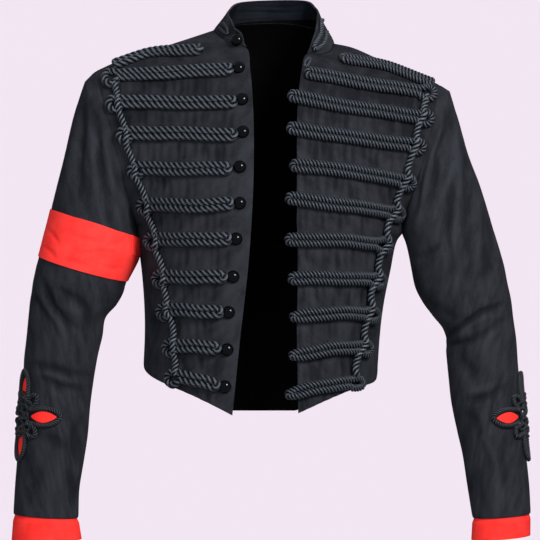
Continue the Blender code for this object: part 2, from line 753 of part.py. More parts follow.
# The cord of one row: down from the row above, round the outer loop, along the lower
# track, round the front end and back along the upper track
def frog_points(side, row, is_shoulder_row, lift):
    line = [
        (0.0, row.inner_x, row.inner_z),
        (0.5, row.mid_x, row.mid_z),
        (1.0, row.outer_x, row.outer_z),
    ]

    def track(share, drop, nudge=0.0):
        step = 0.02
        place = find_lifted(side, *smooth(line, share), lift)
        slopes = front_slopes(side, *place)
        ahead = smooth(line, share + step) - smooth(line, share - step)
        along = unit(slopes @ np.linalg.solve(slopes[[0, 2]], ahead))
        below = np.cross(front_outward(side, slopes), along) * -SIGN[side]
        shift = np.linalg.lstsq(slopes, below * drop + along * nudge, rcond=None)[0]
        place = place + shift
        outward = front_outward(side, front_slopes(side, *place))
        return front_point(side, *place) + outward * lift

    length = math.hypot(row.outer_x - row.inner_x, row.outer_z - row.inner_z)
    points = []
    if row.link_x is not None:
        points.append(place_on_front(side, row.link_x, row.link_z, lift)[0])
    if not is_shoulder_row:
        has_link = row.link_x is not None
        steps = OUTER_LOOP if has_link else OUTER_LOOP[1:]
        drop = 1.0 if has_link else FIRST_LOOP_DROP
        points += [track(1.0, step.down * drop, step.out) for step in steps]
    lower_end = 1.0 if is_shoulder_row else 1 - LOWER_TRACK_INSET / length
    upper_end = 1.0 if is_shoulder_row else 1 - UPPER_TRACK_SHORTFALL / length
    points += [track(share, CORD_PAIR_HALF)
               for share in np.linspace(lower_end, 0, FROG_TRACK_POINTS)]
    for degrees in (60, 0, -60):
        turn = math.radians(degrees)
        points.append(track(0.0, CORD_PAIR_HALF * math.sin(turn),
                            -CORD_PAIR_HALF * math.cos(turn)))
    points += [track(share, -CORD_PAIR_HALF)
               for share in np.linspace(0, upper_end, FROG_TRACK_POINTS)]
    return points


def make_frogs(side, material):
    lift = CORD_RADIUS + SEAT_GAP + CORD_LIFT
    for index, row in enumerate(FROGS[side]):
        points = frog_points(side, row, index == SHOULDER_FROG, lift)
        make_cord(f"frog_{side}_{index:02d}", points, CORD_RADIUS, material)


def make_collar_cord(side, material):
    cord = COLLAR_CORDS[side]
    low = COLLAR_CORD_HEIGHT - COLLAR_CORD_HALF
    high = COLLAR_CORD_HEIGHT + COLLAR_CORD_HALF
    stations = np.linspace(cord.outer_station, cord.inner_station, 6)
    tip = cord.inner_station + SIGN[side] * 0.1
    path = [(station, low) for station in stations]
    path += [(tip, COLLAR_CORD_HEIGHT)]
    path += [(station, high) for station in reversed(stations)]
    points = []
    for station, height in path:
        point, outward = surface_frame(collar_point, station, height, -1.0)
        points.append(point + outward * (COLLAR_CORD_RADIUS + SEAT_GAP + COLLAR_CORD_LIFT))
    make_cord(f"collar_cord_{side}", points, COLLAR_CORD_RADIUS, material)


# Buttons: a turned dome, flat at the back

def button_mesh():
    height = BUTTON_HEIGHT * MM
    radius = BUTTON_RADIUS * MM
    profile = [
        (0.0, height), (0.45 * radius, 0.93 * height), (0.80 * radius, 0.68 * height),
        (radius, 0.25 * height), (0.86 * radius, 0.0), (0.0, 0.0),
    ]
    mesh = bpy.data.meshes.new("button")
    mesh.from_pydata([(x, 0.0, z) for x, z in profile],
                     [(step, step + 1) for step in range(len(profile) - 1)], [])
    return mesh


def make_button(name, mesh, point, outward, material):
    button = make_object(name, mesh, material)
    button.location = point * MM
    up = np.array([0.0, 0.0, 1.0])
    sideways = unit(np.cross(up, outward))
    upright = np.cross(outward, sideways)
    turn = np.identity(4)
    turn[:3, 0] = sideways
    turn[:3, 1] = upright
    turn[:3, 2] = outward
    turn[:3, 3] = point * MM
    button.matrix_world = turn.T.tolist()
    screw = button.modifiers.new("turned", "SCREW")
    screw.steps = 10
    screw.render_steps = 10
    screw.use_merge_vertices = True
    screw.merge_threshold = 0.00001
    return button


def make_buttons(material):
    mesh = button_mesh()
    point, outward = surface_frame(collar_point, COLLAR_BUTTON_STATION,
                                   COLLAR_BUTTON_HEIGHT, -1.0)
    make_button("button_00", mesh, point + outward * COLLAR_BUTTON_LIFT, outward, material)
    for index, (x, z) in enumerate(BUTTON_PLACES, start=1):
        point, outward = place_on_front("right", x, z, BUTTON_LIFT)
        make_button(f"button_{index:02d}", mesh, point, outward, material)


# Sleeve knots: steps round and along the sleeve from the knot's middle

def place_on_sleeve(side, around, up, lift):
    ring = ring_at_height(side, KNOT_MIDDLE_Z[side] + up)
    ends, depths = sleeve_section(side, ring)
    radius = (math.hypot(ends[0] - ends[2], ends[1] - ends[3]) / 2 + depths[1]) / 2
    turn = math.radians(KNOT_MIDDLE_TURN[side]) + around / radius
    point, outward = surface_frame(lambda r, t: sleeve_point(side, r, t), ring, turn,
                                   -SIGN[side])
    return point + outward * lift


def quarter_turns(along, across, quarter):
    turned = [(along, across), (-across, along), (-along, -across), (across, -along)]
    return turned[quarter]


def make_knot(side, cord_material, leaf_material):
    lift = KNOT_CORD_RADIUS + SEAT_GAP + CORD_LIFT
    points = []
    for quarter in range(4):
        for step in KNOT_QUARTER:
            around, up = quarter_turns(step.along, step.across, quarter)
            points.append(place_on_sleeve(side, around, up, lift))
    make_cord(f"sleeve_knot_{side}", points, KNOT_CORD_RADIUS, cord_material, closed=True)
    for quarter in range(4):
        outer = []
        inner = []
        for step in range(LEAF_STEPS + 1):
            share = step / LEAF_STEPS
            half = LEAF_TIP + (LEAF_HALF_WIDTH - LEAF_TIP) * math.sin(math.pi * share)
            along = LEAF_START + LEAF_LENGTH * share
            places = [quarter_turns(along, across, quarter) for across in (-half, 0, half)]
            low = SEAT_GAP + CORD_LIFT
            inner.append([place_on_sleeve(side, *place, low) for place in places])
            outer.append([place_on_sleeve(side, *place, low + LEAF_WALL) for place in places])
        make_wall(f"knot_leaf_{side}_{quarter + 1}", np.array(outer), np.array(inner),
                  leaf_material)


def build_jacket():
    clear_scene()
    make_collection()
    wool = make_material("black_wool")
    cord = make_material("black_cord")
    red = make_material("red_cloth")
    gloss = make_material("black_gloss")
    make_back(wool)
    make_collar(wool)
    for side in ("right", "left"):
        make_front(side, wool)
        make_sleeve(side, wool)
        make_cuff(side, red)
        make_frogs(side, cord)
        make_collar_cord(side, cord)
        make_knot(side, cord, red)
    make_armband(red)
    make_buttons(gloss)


build_jacket()
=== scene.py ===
# A black hussar jacket with twisted cord frogging. All sizes are in millimetres.
import math

import bpy
import numpy as np
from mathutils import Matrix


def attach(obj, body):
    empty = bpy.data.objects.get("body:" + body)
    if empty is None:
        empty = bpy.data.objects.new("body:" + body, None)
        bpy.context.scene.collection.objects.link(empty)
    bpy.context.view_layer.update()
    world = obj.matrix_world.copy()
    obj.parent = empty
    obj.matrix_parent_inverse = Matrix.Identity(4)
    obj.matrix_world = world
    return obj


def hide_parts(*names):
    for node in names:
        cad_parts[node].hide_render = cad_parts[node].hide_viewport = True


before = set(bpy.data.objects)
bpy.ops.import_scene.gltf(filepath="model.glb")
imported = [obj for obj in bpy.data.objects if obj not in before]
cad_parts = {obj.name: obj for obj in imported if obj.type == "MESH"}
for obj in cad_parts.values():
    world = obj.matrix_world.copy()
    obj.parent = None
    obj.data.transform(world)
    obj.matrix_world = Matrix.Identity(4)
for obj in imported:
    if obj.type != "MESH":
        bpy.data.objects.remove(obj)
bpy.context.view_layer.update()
toMetres = 0.001
probe = 0.01      # a small step along a surface, to find its slope
sign = {"right": -1.0, "left": 1.0}      # which way x runs out on each side

# the cut of the body: rows run from the shoulder seam, 0, past the underarm, 6, to the hem, 9
body = {
    "wall": 2.0,
    "underarmRow": 6,
    "hemRow": 9,
    "frontGrid": (160, 116),
    "backGrid": (130, 181),
    "shoulderY": 4.0,
    "armholeFront": 56.0,
    "armholeBack": 60.0,
    "neckShare": 1 / 3,
    "hemStart": 7.0,
    "backHemFlat": 0.28,
    "frontEdge": {                # row, x, y, z
        "right": [(0, -74, 6, 9), (1, -61, -27, -3), (1.5, -48, -45, -12), (2, -31, -56, -15),
                  (3, -24, -78, -46), (4, -20, -99, -100), (5, -19, -113, -161),
                  (6, -21, -119, -231), (7, -27, -117, -316), (8, -37, -112, -404),
                  (9, -48, -106, -512)],
        "left": [(0, 90, 6, -9), (1, 83, -24, -20), (1.5, 72, -40, -24), (2, 55, -54, -23),
                 (3, 45, -78, -50), (4, 40, -99, -100), (5, 39, -113, -161),
                 (6, 39, -119, -231), (7, 40, -117, -316), (8, 39, -112, -404),
                 (9, 41, -106, -509)],
    },
    "backMiddle": [(0, 8, 66, 20), (1, 7, 84, -8), (2, 6, 97, -45), (3, 5, 106, -95),
                   (4, 4, 109, -145), (5, 2, 107, -195), (6, 0, 101, -250),
                   (7, -2, 91, -320), (8, -4, 84, -390), (9, -5, 87, -507)],
    "sideSeam": {
        "right": [(6, -178, 4, -257), (6.25, -177, 4, -272), (6.5, -175, 3, -287),
                  (7, -171, 4, -319), (8, -167, 5, -386), (9, -169, 6, -446)],
        "left": [(6, 182, 4, -251), (6.25, 183.2, 4, -264), (6.5, 175, 3, -276),
                 (7, 166, 4, -316), (8, 154, 5, -381), (9, 148, 6, -460)],
    },
    "rowTurn": [(0, 12), (1, 22), (2, 35), (3, 48), (4, 60), (5, 74), (6, 86), (9, 88)],
    "shoulderRise": {
        "right": [(0, 0), (0.3, 1), (0.6, 2.5), (0.85, 3), (1, 0)],
        "left": [(0, 0), (0.15, 4), (0.4, 3), (0.8, 2), (1, 0)],
    },
    "hemSag": {"right": (8.0, 1.8), "left": (5.5, 3.0)},
    "armhole": {                  # tip x, tip z, underarm x, underarm z, bow
        "right": (-234, -47, -178, -257, 0),
        "left": (232, -65, 182, -251, 5),
    },
}

collar = {
    "wall": 2.6,
    "grid": (40, 200),
    "middleX": 6.0,
    "hollow": 0.8,
    "top": [(-3, -47, -50, 9), (-2, -51, -22, 23), (-1, -53, 8, 37), (-0.5, -40, 46, 47),
            (0, 6, 60, 50.5), (0.5, 52, 46, 49.5), (1, 65, 8, 40), (2, 68, -20, 26),
            (3, 67, -46, 7)],
    "endBulge": 5.5,              # how far the right end's rounded corner stands out
    "seam": [(-48, 17.5), (-22, 21.6), (10, 23.4), (66, 23.4)],      # x, z inside the neck
    "creases": [([(-50, 33), (-20, 35), (20, 34), (60, 36)], 2.2, 0.7),
                ([(-30, 42), (10, 41), (50, 43)], 2.0, 0.6),
                ([(-45, 26), (0, 28), (40, 27)], 1.8, -0.4)],
}

# sleeve rings from below the armhole, 1, to the hem, 19: outer x, outer z, inner x, inner z
sleeve = {
    "wall": 2.0,
    "grid": (230, 160),
    "tuck": 5.0,
    "tuckedRings": [-1, -0.75, -0.5, -0.25],
    "seamHolds": 1.6,             # rings over which the armhole seam holds the cloth flat
    "creasing": ((380, 480), (1.25, 1.6)),      # from how far down, and how strong
    # how much stronger the creases' painted shade is lower down
    "creasePaintedShade": ((380, 480), (1.0, 1.5)),
    # painted light on the cloth under the arm, where it turns away from the lamps: degrees, reach,
    # last ring, rings it fades over, how strong the painted light is
    "underarmPaintedLight": (150, 30, 9, 4, 2.4),
    "cuffWall": 1.5,
    "cuffGrid": (26, 120),
    "rings": {
        "right": [(-248, -61, -176.3, -260), (-256, -85, -176.0, -263), (-267, -123, -175.0, -266),
                  (-277, -163, -174.4, -270), (-286, -200, -174.0, -274),
                  (-294, -236, -173.8, -279), (-302, -267, -175.5, -300), (-310, -298, -191, -331),
                  (-316, -319, -196, -347), (-321, -348, -205, -363), (-324, -377, -219.5, -381),
                  (-327, -408, -224, -406), (-330, -435, -230, -431), (-331, -460, -235, -460),
                  (-333, -498, -240, -497), (-336, -536, -243, -537), (-339, -570, -248, -570),
                  (-342, -609, -254, -608), (-344, -645, -256, -650)],
        "left": [(246, -74, 181.2, -254), (252, -94, 181.4, -258), (263, -132, 180.8, -262),
                 (275, -170, 181.2, -266), (288, -204, 183.0, -271), (298, -234, 186.2, -279),
                 (309, -273, 190, -294), (319, -308, 194, -315), (324, -333, 199, -339),
                 (329, -356, 208, -358), (332, -381, 223, -378), (336, -410, 238.2, -399),
                 (338, -440, 241, -429), (340, -464, 244, -460), (343, -498, 248, -496),
                 (346, -532, 256, -535), (349, -566, 263, -566), (353, -606, 269, -606),
                 (355, -644, 276, -650)],
    },
    "depths": [(4, 58, 0), (4, 59, 0), (3, 60, 1), (2, 62, 1), (0, 62, 2), (-1, 61, 3),
               (-2, 60, 4), (-3, 58, 5), (-2, 57, 5), (-2, 55, 4), (-2, 54, 3), (-4, 52, 3),
               (-7, 51, 3), (-10, 50, 4), (-15, 48, 4), (-20, 45, 4), (-25, 42, 4),
               (-31, 40, 4), (-37, 38, 3)],
    "hem": 19,
    "folds": {                    # ring, degrees, depth, reach in rings, reach in degrees, climb
        "right": [(4.6, 100, 3.0, 1.9, 17, 0), (4.4, 140, 2.6, 1.8, 18, 0),
                  (10.2, 52, 3.4, 0.6, 42, 7), (11.8, 128, 3.0, 0.6, 38, -6),
                  (15, 120, 2.2, 0.8, 45, 6)],
        "left": [(4.8, 98, 3.0, 2.0, 17, 0), (4.2, 64, 2.4, 1.8, 17, 0),
                 (11, 118, 3.4, 0.6, 44, -7), (13.6, 104, 2.8, 0.6, 42, -6),
                 (16.2, 70, 2.0, 0.8, 40, 5)],
    },
    "cuffEnds": {"right": (-346, -681, -252, -679), "left": (354, -674, 275, -680)},
    "cuffRows": [(-0.3, -4.5), (-0.02, -2.8), (0.25, 0.0), (1.0, 0.5)],
}


# a smooth curve through a table's rows; the first column is the key
def readTable(table, keys):
    rows = np.array(table, float)
    knots = rows[:, 0]
    values = rows[:, 1:]
    slopes = np.gradient(values, knots, axis=0)
    keys = np.asarray(keys, float)
    low = np.clip(np.searchsorted(knots, keys, side="right") - 1, 0, len(knots) - 2)
    span = (knots[low + 1] - knots[low])[..., None]
    t = (keys - knots[low])[..., None] / span
    return (values[low] * (1 + 2 * t) * (1 - t) ** 2 + values[low + 1] * t * t * (3 - 2 * t)
            + slopes[low] * t * (1 - t) ** 2 * span + slopes[low + 1] * t * t * (t - 1) * span)


def unit(vectors):
    return vectors / np.linalg.norm(vectors, axis=-1, keepdims=True)


# angles for one trip round a tube, the first not repeated at the end
def allRound(count):
    return np.linspace(0, 2 * math.pi, count, endpoint=False)


def armholePoint(side, turn):
    tipX, tipZ, underX, underZ, bow = body["armhole"][side]
    share = (1 + np.cos(turn)) / 2
    reach = np.where(np.sin(turn) > 0, body["armholeFront"], body["armholeBack"])
    return np.stack([
        underX + (tipX - underX) * share + sign[side] * bow * np.sin(turn) ** 2,
        body["shoulderY"] - reach * np.sin(turn),
        underZ + (tipZ - underZ) * share,
    ], axis=-1)


def sidePoint(side, row, behind):
    underarm = body["underarmRow"]
    turn = math.pi * np.minimum(row, underarm) / underarm
    hole = armholePoint(side, 2 * math.pi - turn if behind else turn)
    seam = readTable(body["sideSeam"][side], np.maximum(row, underarm))
    return np.where((row <= underarm)[..., None], hole, seam)


# 0 above the row where the hem's shape starts, 1 at the hem
def hemShare(row):
    return np.maximum(0, row - body["hemStart"]) / (body["hemRow"] - body["hemStart"])


def sectionPoint(edge, rim, row, across):
    whole = np.radians(readTable(body["rowTurn"], row)[..., 0])
    turn = whole * across
    sideways = np.sin(turn) / np.sin(whole)
    backward = (1 - np.cos(turn)) / (1 - np.cos(whole))
    return edge + (rim - edge) * np.stack([sideways, backward, sideways], axis=-1)


def frontPoint(side, across, row):
    across, row = np.broadcast_arrays(np.asarray(across, float), np.asarray(row, float))
    edge = readTable(body["frontEdge"][side], row)
    point = sectionPoint(edge, sidePoint(side, row, False), row, across)
    share = np.clip(across, 0, 1)
    rise = readTable(body["shoulderRise"][side], share)[..., 0]
    point[..., 2] += rise * np.maximum(0, 1 - row / 2.5) ** 2
    depth, power = body["hemSag"][side]
    point[..., 2] -= depth * np.sin(math.pi * share ** power) * hemShare(row) ** 2
    return point


def backTopPoint(side, across):
    neck = body["neckShare"]
    shoulder = frontPoint(side, np.maximum(0, (across - neck) / (1 - neck)), 0.0 * across)
    middle = readTable(body["backMiddle"], 0)
    end = readTable(body["frontEdge"][side], 0)
    turn = np.minimum(across / neck, 1) * math.pi / 2
    low = 1 - np.cos(turn)
    neckCurve = middle + (end - middle) * np.stack([np.sin(turn), low, low], axis=-1)
    return np.where((across >= neck)[..., None], shoulder, neckCurve)


def backHalf(side, reach, row):
    middle = readTable(body["backMiddle"], row)
    rim = sidePoint(side, row, True)
    point = sectionPoint(middle, rim, row, reach)
    flat = body["backHemFlat"]
    sideways = np.abs((point[..., 0] - middle[..., 0]) / (rim[..., 0] - middle[..., 0]))
    climb = np.maximum(0, sideways - flat) / (1 - flat)
    hemZ = middle[..., 2] + (rim[..., 2] - middle[..., 2]) * climb
    point[..., 2] += (hemZ - point[..., 2]) * hemShare(row)
    top = 0.0 * row
    plainTop = sectionPoint(readTable(body["backMiddle"], top), sidePoint(side, top, True),
                            top, reach)
    fade = np.maximum(0, 1 - row / 3)[..., None] ** 2
    return point + (backTopPoint(side, reach) - plainTop) * fade


# across runs from -1 at the right side to 1 at the left
def backPoint(across, row):
    across, row = np.broadcast_arrays(np.asarray(across, float), np.asarray(row, float))
    reach = np.abs(across)
    return np.where((across < 0)[..., None], backHalf("right", reach, row),
                    backHalf("left", reach, row))


# stations run from the right end, -3, round the back, 0, to the left end, 3
def collarPoint(station, height):
    station, height = np.broadcast_arrays(np.asarray(station, float), np.asarray(height, float))
    away = np.abs(station)
    bases = []
    for side in sign:
        edge = readTable(body["frontEdge"][side], np.maximum(away - 1, 0))
        neck = backTopPoint(side, body["neckShare"] * np.minimum(away, 1))
        bases.append(np.where((away >= 1)[..., None], edge, neck))
    base = np.where((station < 0)[..., None], bases[0], bases[1])
    top = readTable(collar["top"], station)
    point = base + (top - base) * height[..., None]
    inward = np.array([collar["middleX"], 0.0, 0.0]) - point
    inward[..., 2] = 0
    inward = unit(inward)
    hollow = collar["hollow"] * np.sin(math.pi * height) * np.minimum(1, 3.2 - away)
    atEnd = np.clip((-2.3 - station) / 0.7, 0, 1) ** 2
    point[..., 0] += collar["endBulge"] * atEnd * np.sin(math.pi * np.clip(height, 0, 1) ** 1.6)
    return point + inward * hollow[..., None]


def ringPoint(ends, depths, turn, growth):
    outerX, outerZ, innerX, innerZ = np.moveaxis(ends, -1, 0)
    middleY, depth, drop = np.moveaxis(depths, -1, 0)
    halfX = (outerX - innerX) / 2
    halfZ = (outerZ - innerZ) / 2
    wider = 1 + growth / np.hypot(halfX, halfZ)
    return np.stack([
        (outerX + innerX) / 2 + halfX * wider * np.cos(turn),
        middleY - (depth + growth) * np.sin(turn),
        (outerZ + innerZ) / 2 + halfZ * wider * np.cos(turn) - drop * np.sin(turn),
    ], axis=-1)


def foldDepth(side, ring, turn):
    depth = 0.0
    for atRing, atDegrees, deep, rings, degrees, climb in sleeve["folds"][side]:
        away = (np.degrees(turn) - atDegrees + 180) % 360 - 180
        along = ring - atRing - climb * away / 360
        depth = depth + deep * np.exp(-(along / rings) ** 2 - (away / degrees) ** 2)
    return depth


# the two tables of a sleeve, with each ring's number in front
def ringTables(side):
    numbers = np.arange(1, sleeve["hem"] + 1)[:, None]
    return np.hstack([numbers, sleeve["rings"][side]]), np.hstack([numbers, sleeve["depths"]])


# ring 0 is the armhole, -1 the edge tucked inside it; turn runs from the outer side
# over the front
def sleevePoint(side, ring, turn):
    ring, turn = np.broadcast_arrays(np.asarray(ring, float), np.asarray(turn, float))
    rings, depths = ringTables(side)
    down = np.maximum(ring, 1)
    tube = ringPoint(readTable(rings, down), readTable(depths, down), turn,
                     -foldDepth(side, down, turn))
    tipX, tipZ, underX, underZ, _ = body["armhole"][side]
    into = unit(np.array([tipZ - underZ, 0, underX - tipX]) * -sign[side])
    top = armholePoint(side, turn) + into * sleeve["tuck"] * np.maximum(0, -ring)[..., None]
    share = np.clip(ring, 0, 1)[..., None]
    return top + (tube - top) * share


def cuffPoint(side, share, turn):
    share, turn = np.broadcast_arrays(np.asarray(share, float), np.asarray(turn, float))
    hemEnds = np.array(sleeve["rings"][side][-1], float)
    lowEnds = np.array(sleeve["cuffEnds"][side], float)
    ends = hemEnds + (lowEnds - hemEnds) * share[..., None]
    depths = np.broadcast_to(np.array(sleeve["depths"][-1], float), share.shape + (3,))
    growth = np.interp(share, *zip(*sleeve["cuffRows"]))
    return ringPoint(ends, depths, turn, growth)


# the outward direction at each point of a grid; a tube's last column meets its first
def outwardOf(grid, flip, tube):
    down = np.gradient(grid, axis=0)
    if tube:
        across = np.roll(grid, -1, axis=1) - np.roll(grid, 1, axis=1)
    else:
        across = np.gradient(grid, axis=1)
    normals = np.cross(across, down) * flip
    return normals / np.maximum(np.linalg.norm(normals, axis=2, keepdims=True), 1e-9)


def newMaterial(name, finish):
    material = bpy.data.materials.new(name)
    material.use_nodes = True
    shader = material.node_tree.nodes["Principled BSDF"]
    for socket, value in finish.items():
        shader.inputs[socket].default_value = value
    return material, material.node_tree, shader


def addNode(tree, kind, values=None, **settings):
    node = tree.nodes.new(kind)
    for key, value in settings.items():
        setattr(node, key, value)
    for socket, value in (values or {}).items():
        node.inputs[socket].default_value = value
    return node


def newGroup(name, inputs, outputs):
    group = bpy.data.node_groups.new(name, "ShaderNodeTree")
    for label, kind, value in inputs:
        socket = group.interface.new_socket(name=label, in_out="INPUT", socket_type=kind)
        if value is not None:
            socket.default_value = value
    for label, kind in outputs:
        group.interface.new_socket(name=label, in_out="OUTPUT", socket_type=kind)
    return group, group.nodes.new("NodeGroupInput"), group.nodes.new("NodeGroupOutput")


def maths(tree, operation, first, second=None):
    node = tree.nodes.new("ShaderNodeMath")
    node.operation = operation
    for index, value in enumerate((first, second)):
        if isinstance(value, (int, float)):
            node.inputs[index].default_value = value
        elif value is not None:
            tree.links.new(value, node.inputs[index])
    return node.outputs[0]


def colourRamp(tree, first, middle, last):
    ramp = addNode(tree, "ShaderNodeValToRGB")
    stops = ramp.color_ramp.elements
    for index, (place, colour) in enumerate((first, last)):
        stops[index].position = place
        stops[index].color = (*colour, 1)
    for place, colour in middle:
        stops.new(place).color = (*colour, 1)
    return ramp


def addBump(tree, shader, height, strength, distance):
    bump = addNode(tree, "ShaderNodeBump", {"Strength": strength, "Distance": distance})
    tree.links.new(height, bump.inputs["Height"])
    tree.links.new(bump.outputs["Normal"], shader.inputs["Normal"])


weaveLook = {
    "ribs": 0.35, "picks": 0.15,                # how high each thread of the weave stands
    "fuzz": {"Scale": 1600.0, "Detail": 4.0},
    "cloud": {"Scale": 34.0, "Detail": 4.0, "Roughness": 0.6},
    "streak": {"Scale": 1.0, "Detail": 3.0}, "streakStretch": (150.0, 26.0, 1.0),
    "speck": {"Scale": 640.0, "Detail": 2.0},
    "toneShares": {"cloud": 0.60, "streak": 0.10, "speck": 0.3},
    "darkAt": 0.38, "lightAt": 0.62,
    "bump": 0.0004,
}


# a diagonal weave with fibre fuzz; coordinates are in metres
def makeWeaveGroup():
    group, given, out = newGroup("diagonalWeave", [
        ("Vector", "NodeSocketVector", None),
        ("Pitch", "NodeSocketFloat", 0.0012),
        ("Fuzz", "NodeSocketFloat", 0.5),
    ], [("Height", "NodeSocketFloat"), ("Tone", "NodeSocketFloat")])
    link = group.links.new
    vector = given.outputs["Vector"]

    def noise(kind, place):
        node = addNode(group, "ShaderNodeTexNoise", weaveLook[kind])
        link(place, node.inputs["Vector"])
        return node.outputs[0]

    def toneOf(kind, place):
        return maths(group, "MULTIPLY", noise(kind, place), weaveLook["toneShares"][kind])

    def wave(across, turns, height):
        phase = maths(group, "DIVIDE", across, given.outputs["Pitch"])
        sine = maths(group, "SINE", maths(group, "MULTIPLY", phase, turns * math.pi))
        return maths(group, "MULTIPLY", sine, height)

    split = addNode(group, "ShaderNodeSeparateXYZ")
    link(vector, split.inputs[0])
    diagonal = maths(group, "ADD", split.outputs["X"], split.outputs["Y"])
    cross = maths(group, "SUBTRACT", split.outputs["X"], split.outputs["Y"])
    weave = maths(group, "ADD", wave(diagonal, 2, weaveLook["ribs"]),
                  wave(cross, 4, weaveLook["picks"]))
    hairs = maths(group, "MULTIPLY", noise("fuzz", vector), given.outputs["Fuzz"])
    link(maths(group, "ADD", weave, hairs), out.inputs["Height"])
    stretch = addNode(group, "ShaderNodeMapping", {"Scale": weaveLook["streakStretch"]})
    link(vector, stretch.inputs["Vector"])
    soft = maths(group, "ADD", toneOf("cloud", vector), toneOf("streak", stretch.outputs[0]))
    link(maths(group, "ADD", soft, toneOf("speck", vector)), out.inputs["Tone"])
    return group


weaveGroup = makeWeaveGroup()


def clothMaterial(name, look):
    material, tree, shader = newMaterial(name, look["shader"])
    link = tree.links.new
    place = addNode(tree, "ShaderNodeUVMap", uv_map="cloth")
    weave = addNode(tree, "ShaderNodeGroup", node_tree=weaveGroup)
    weave.inputs["Pitch"].default_value = look["pitch"]
    weave.inputs["Fuzz"].default_value = look["fuzz"]
    link(place.outputs["UV"], weave.inputs["Vector"])
    ramp = colourRamp(tree, (weaveLook["darkAt"], look["dark"]), [],
                      (weaveLook["lightAt"], look["light"]))
    # painted shade: the per-point attribute darkens the cloth's colour in creases and puckers, and
    # paints light where it is negative
    paintedShade = addNode(tree, "ShaderNodeAttribute", attribute_name="paintedShade")
    darkened = maths(tree, "MULTIPLY", paintedShade.outputs["Fac"], look["foldShade"])
    link(maths(tree, "SUBTRACT", weave.outputs["Tone"], darkened), ramp.inputs["Fac"])
    link(ramp.outputs["Color"], shader.inputs["Base Color"])
    addBump(tree, shader, weave.outputs["Height"], look["relief"], weaveLook["bump"])
    return material


cloths = {
    "blackWool": {
        "shader": {"Roughness": 0.92, "Specular IOR Level": 0.10},
        "dark": (0.0095, 0.0102, 0.0130), "light": (0.0270, 0.0290, 0.0355),
        "pitch": 0.0012, "fuzz": 0.8, "relief": 0.6, "foldShade": 0.125,
    },
    "blackLining": {
        "shader": {"Roughness": 0.7, "Specular IOR Level": 0.05},
        "dark": (0.0006, 0.0006, 0.0007), "light": (0.0012, 0.0012, 0.0014),
        "pitch": 0.0008, "fuzz": 0.3, "relief": 0.2, "foldShade": 0.0,
    },
    "navyFacing": {
        "shader": {"Roughness": 0.65, "Specular IOR Level": 0.1},
        "dark": (0.0017, 0.0025, 0.0043), "light": (0.0066, 0.0087, 0.0132),
        "pitch": 0.0010, "fuzz": 0.5, "relief": 0.4, "foldShade": 0.10,
    },
    "redCloth": {
        "shader": {"Roughness": 0.75, "Specular IOR Level": 0.15},
        "dark": (0.86, 0.020, 0.016), "light": (1.0, 0.042, 0.033),
        "pitch": 0.0009, "fuzz": 0.4, "relief": 0.3, "foldShade": 0.10,
    },
    # the armband's red, a lighter copy of redCloth: partly the band's own slightly different red,
    # partly painted light to lift the shade the lamps leave on the band
    "bandRedWithPaintedLight": {
        "shader": {"Roughness": 0.75, "Specular IOR Level": 0.15},
        "dark": (0.95, 0.028, 0.023), "light": (1.0, 0.052, 0.043),
        "pitch": 0.0009, "fuzz": 0.4, "relief": 0.3, "foldShade": 0.09,
    },
}
looks = {name: clothMaterial(name, look) for name, look in cloths.items()}

cordLook = {
    "shader": {"Roughness": 0.42},
    # the groove colour is painted shade between the strands
    "groove": (0.0006, 0.0008, 0.0016), "grooveAt": 0.45,
    "kinds": {      # crown, a painted highlight; shade, darker towards the grooves; how far from the crown the shade lies; specular level
        "thickCord": ((0.080, 0.092, 0.110), (0.0085, 0.0098, 0.0140), 0.22, 0.3),
        "fineCord": ((0.062, 0.071, 0.086), (0.0085, 0.0098, 0.0140), 0.22, 0.3),
        "linkCord": ((0.118, 0.135, 0.160), (0.0085, 0.0098, 0.0140), 0.22, 0.3),
        "knotCord": ((0.150, 0.165, 0.185), (0.0014, 0.0018, 0.0028), 0.12, 0.12),
    },
    "strands": 3, "threads": 7.0, "threadLean": 900.0,
    "threadRelief": (0.5, 0.0002),      # strength and distance of the bump
}


# the cord's UV runs along it in metres and once round it for its three strands; the colour paints
# a highlight on each strand's crown and shade in the grooves between
def cordMaterial(name, look):
    material, tree, shader = newMaterial(name, look["shader"])
    crownHighlight, shade, shadeAt, specular = look["kinds"][name]
    shader.inputs["Specular IOR Level"].default_value = specular
    link = tree.links.new
    place = addNode(tree, "ShaderNodeUVMap", uv_map="cord")
    split = addNode(tree, "ShaderNodeSeparateXYZ")
    link(place.outputs["UV"], split.inputs[0])
    strand = maths(tree, "MULTIPLY", split.outputs["Y"], float(look["strands"]))
    within = maths(tree, "FRACT", strand)
    fromCrown = maths(tree, "ABSOLUTE", maths(tree, "SUBTRACT", within, 0.5))
    # painted highlight on each strand's crown, shading down to painted shade in its grooves
    ramp = colourRamp(tree, (0.0, crownHighlight), [(shadeAt, shade)],
                      (look["grooveAt"], look["groove"]))
    link(fromCrown, ramp.inputs["Fac"])
    link(ramp.outputs["Color"], shader.inputs["Base Color"])
    lean = maths(tree, "MULTIPLY", split.outputs["X"], look["threadLean"])
    threads = maths(tree, "SINE", maths(tree, "ADD", lean, maths(
        tree, "MULTIPLY", strand, look["threads"] * 2 * math.pi)))
    addBump(tree, shader, threads, *look["threadRelief"])
    return material


for name in cordLook["kinds"]:
    looks[name] = cordMaterial(name, cordLook)


gloss = {
    "shader": {"Base Color": (0.0012, 0.0012, 0.0018, 1), "Roughness": 0.08,
               "Specular IOR Level": 0.22},
    "smudge": {"Scale": 260.0, "Detail": 5.0},
    "roughness": {"To Min": 0.05, "To Max": 0.16},
}


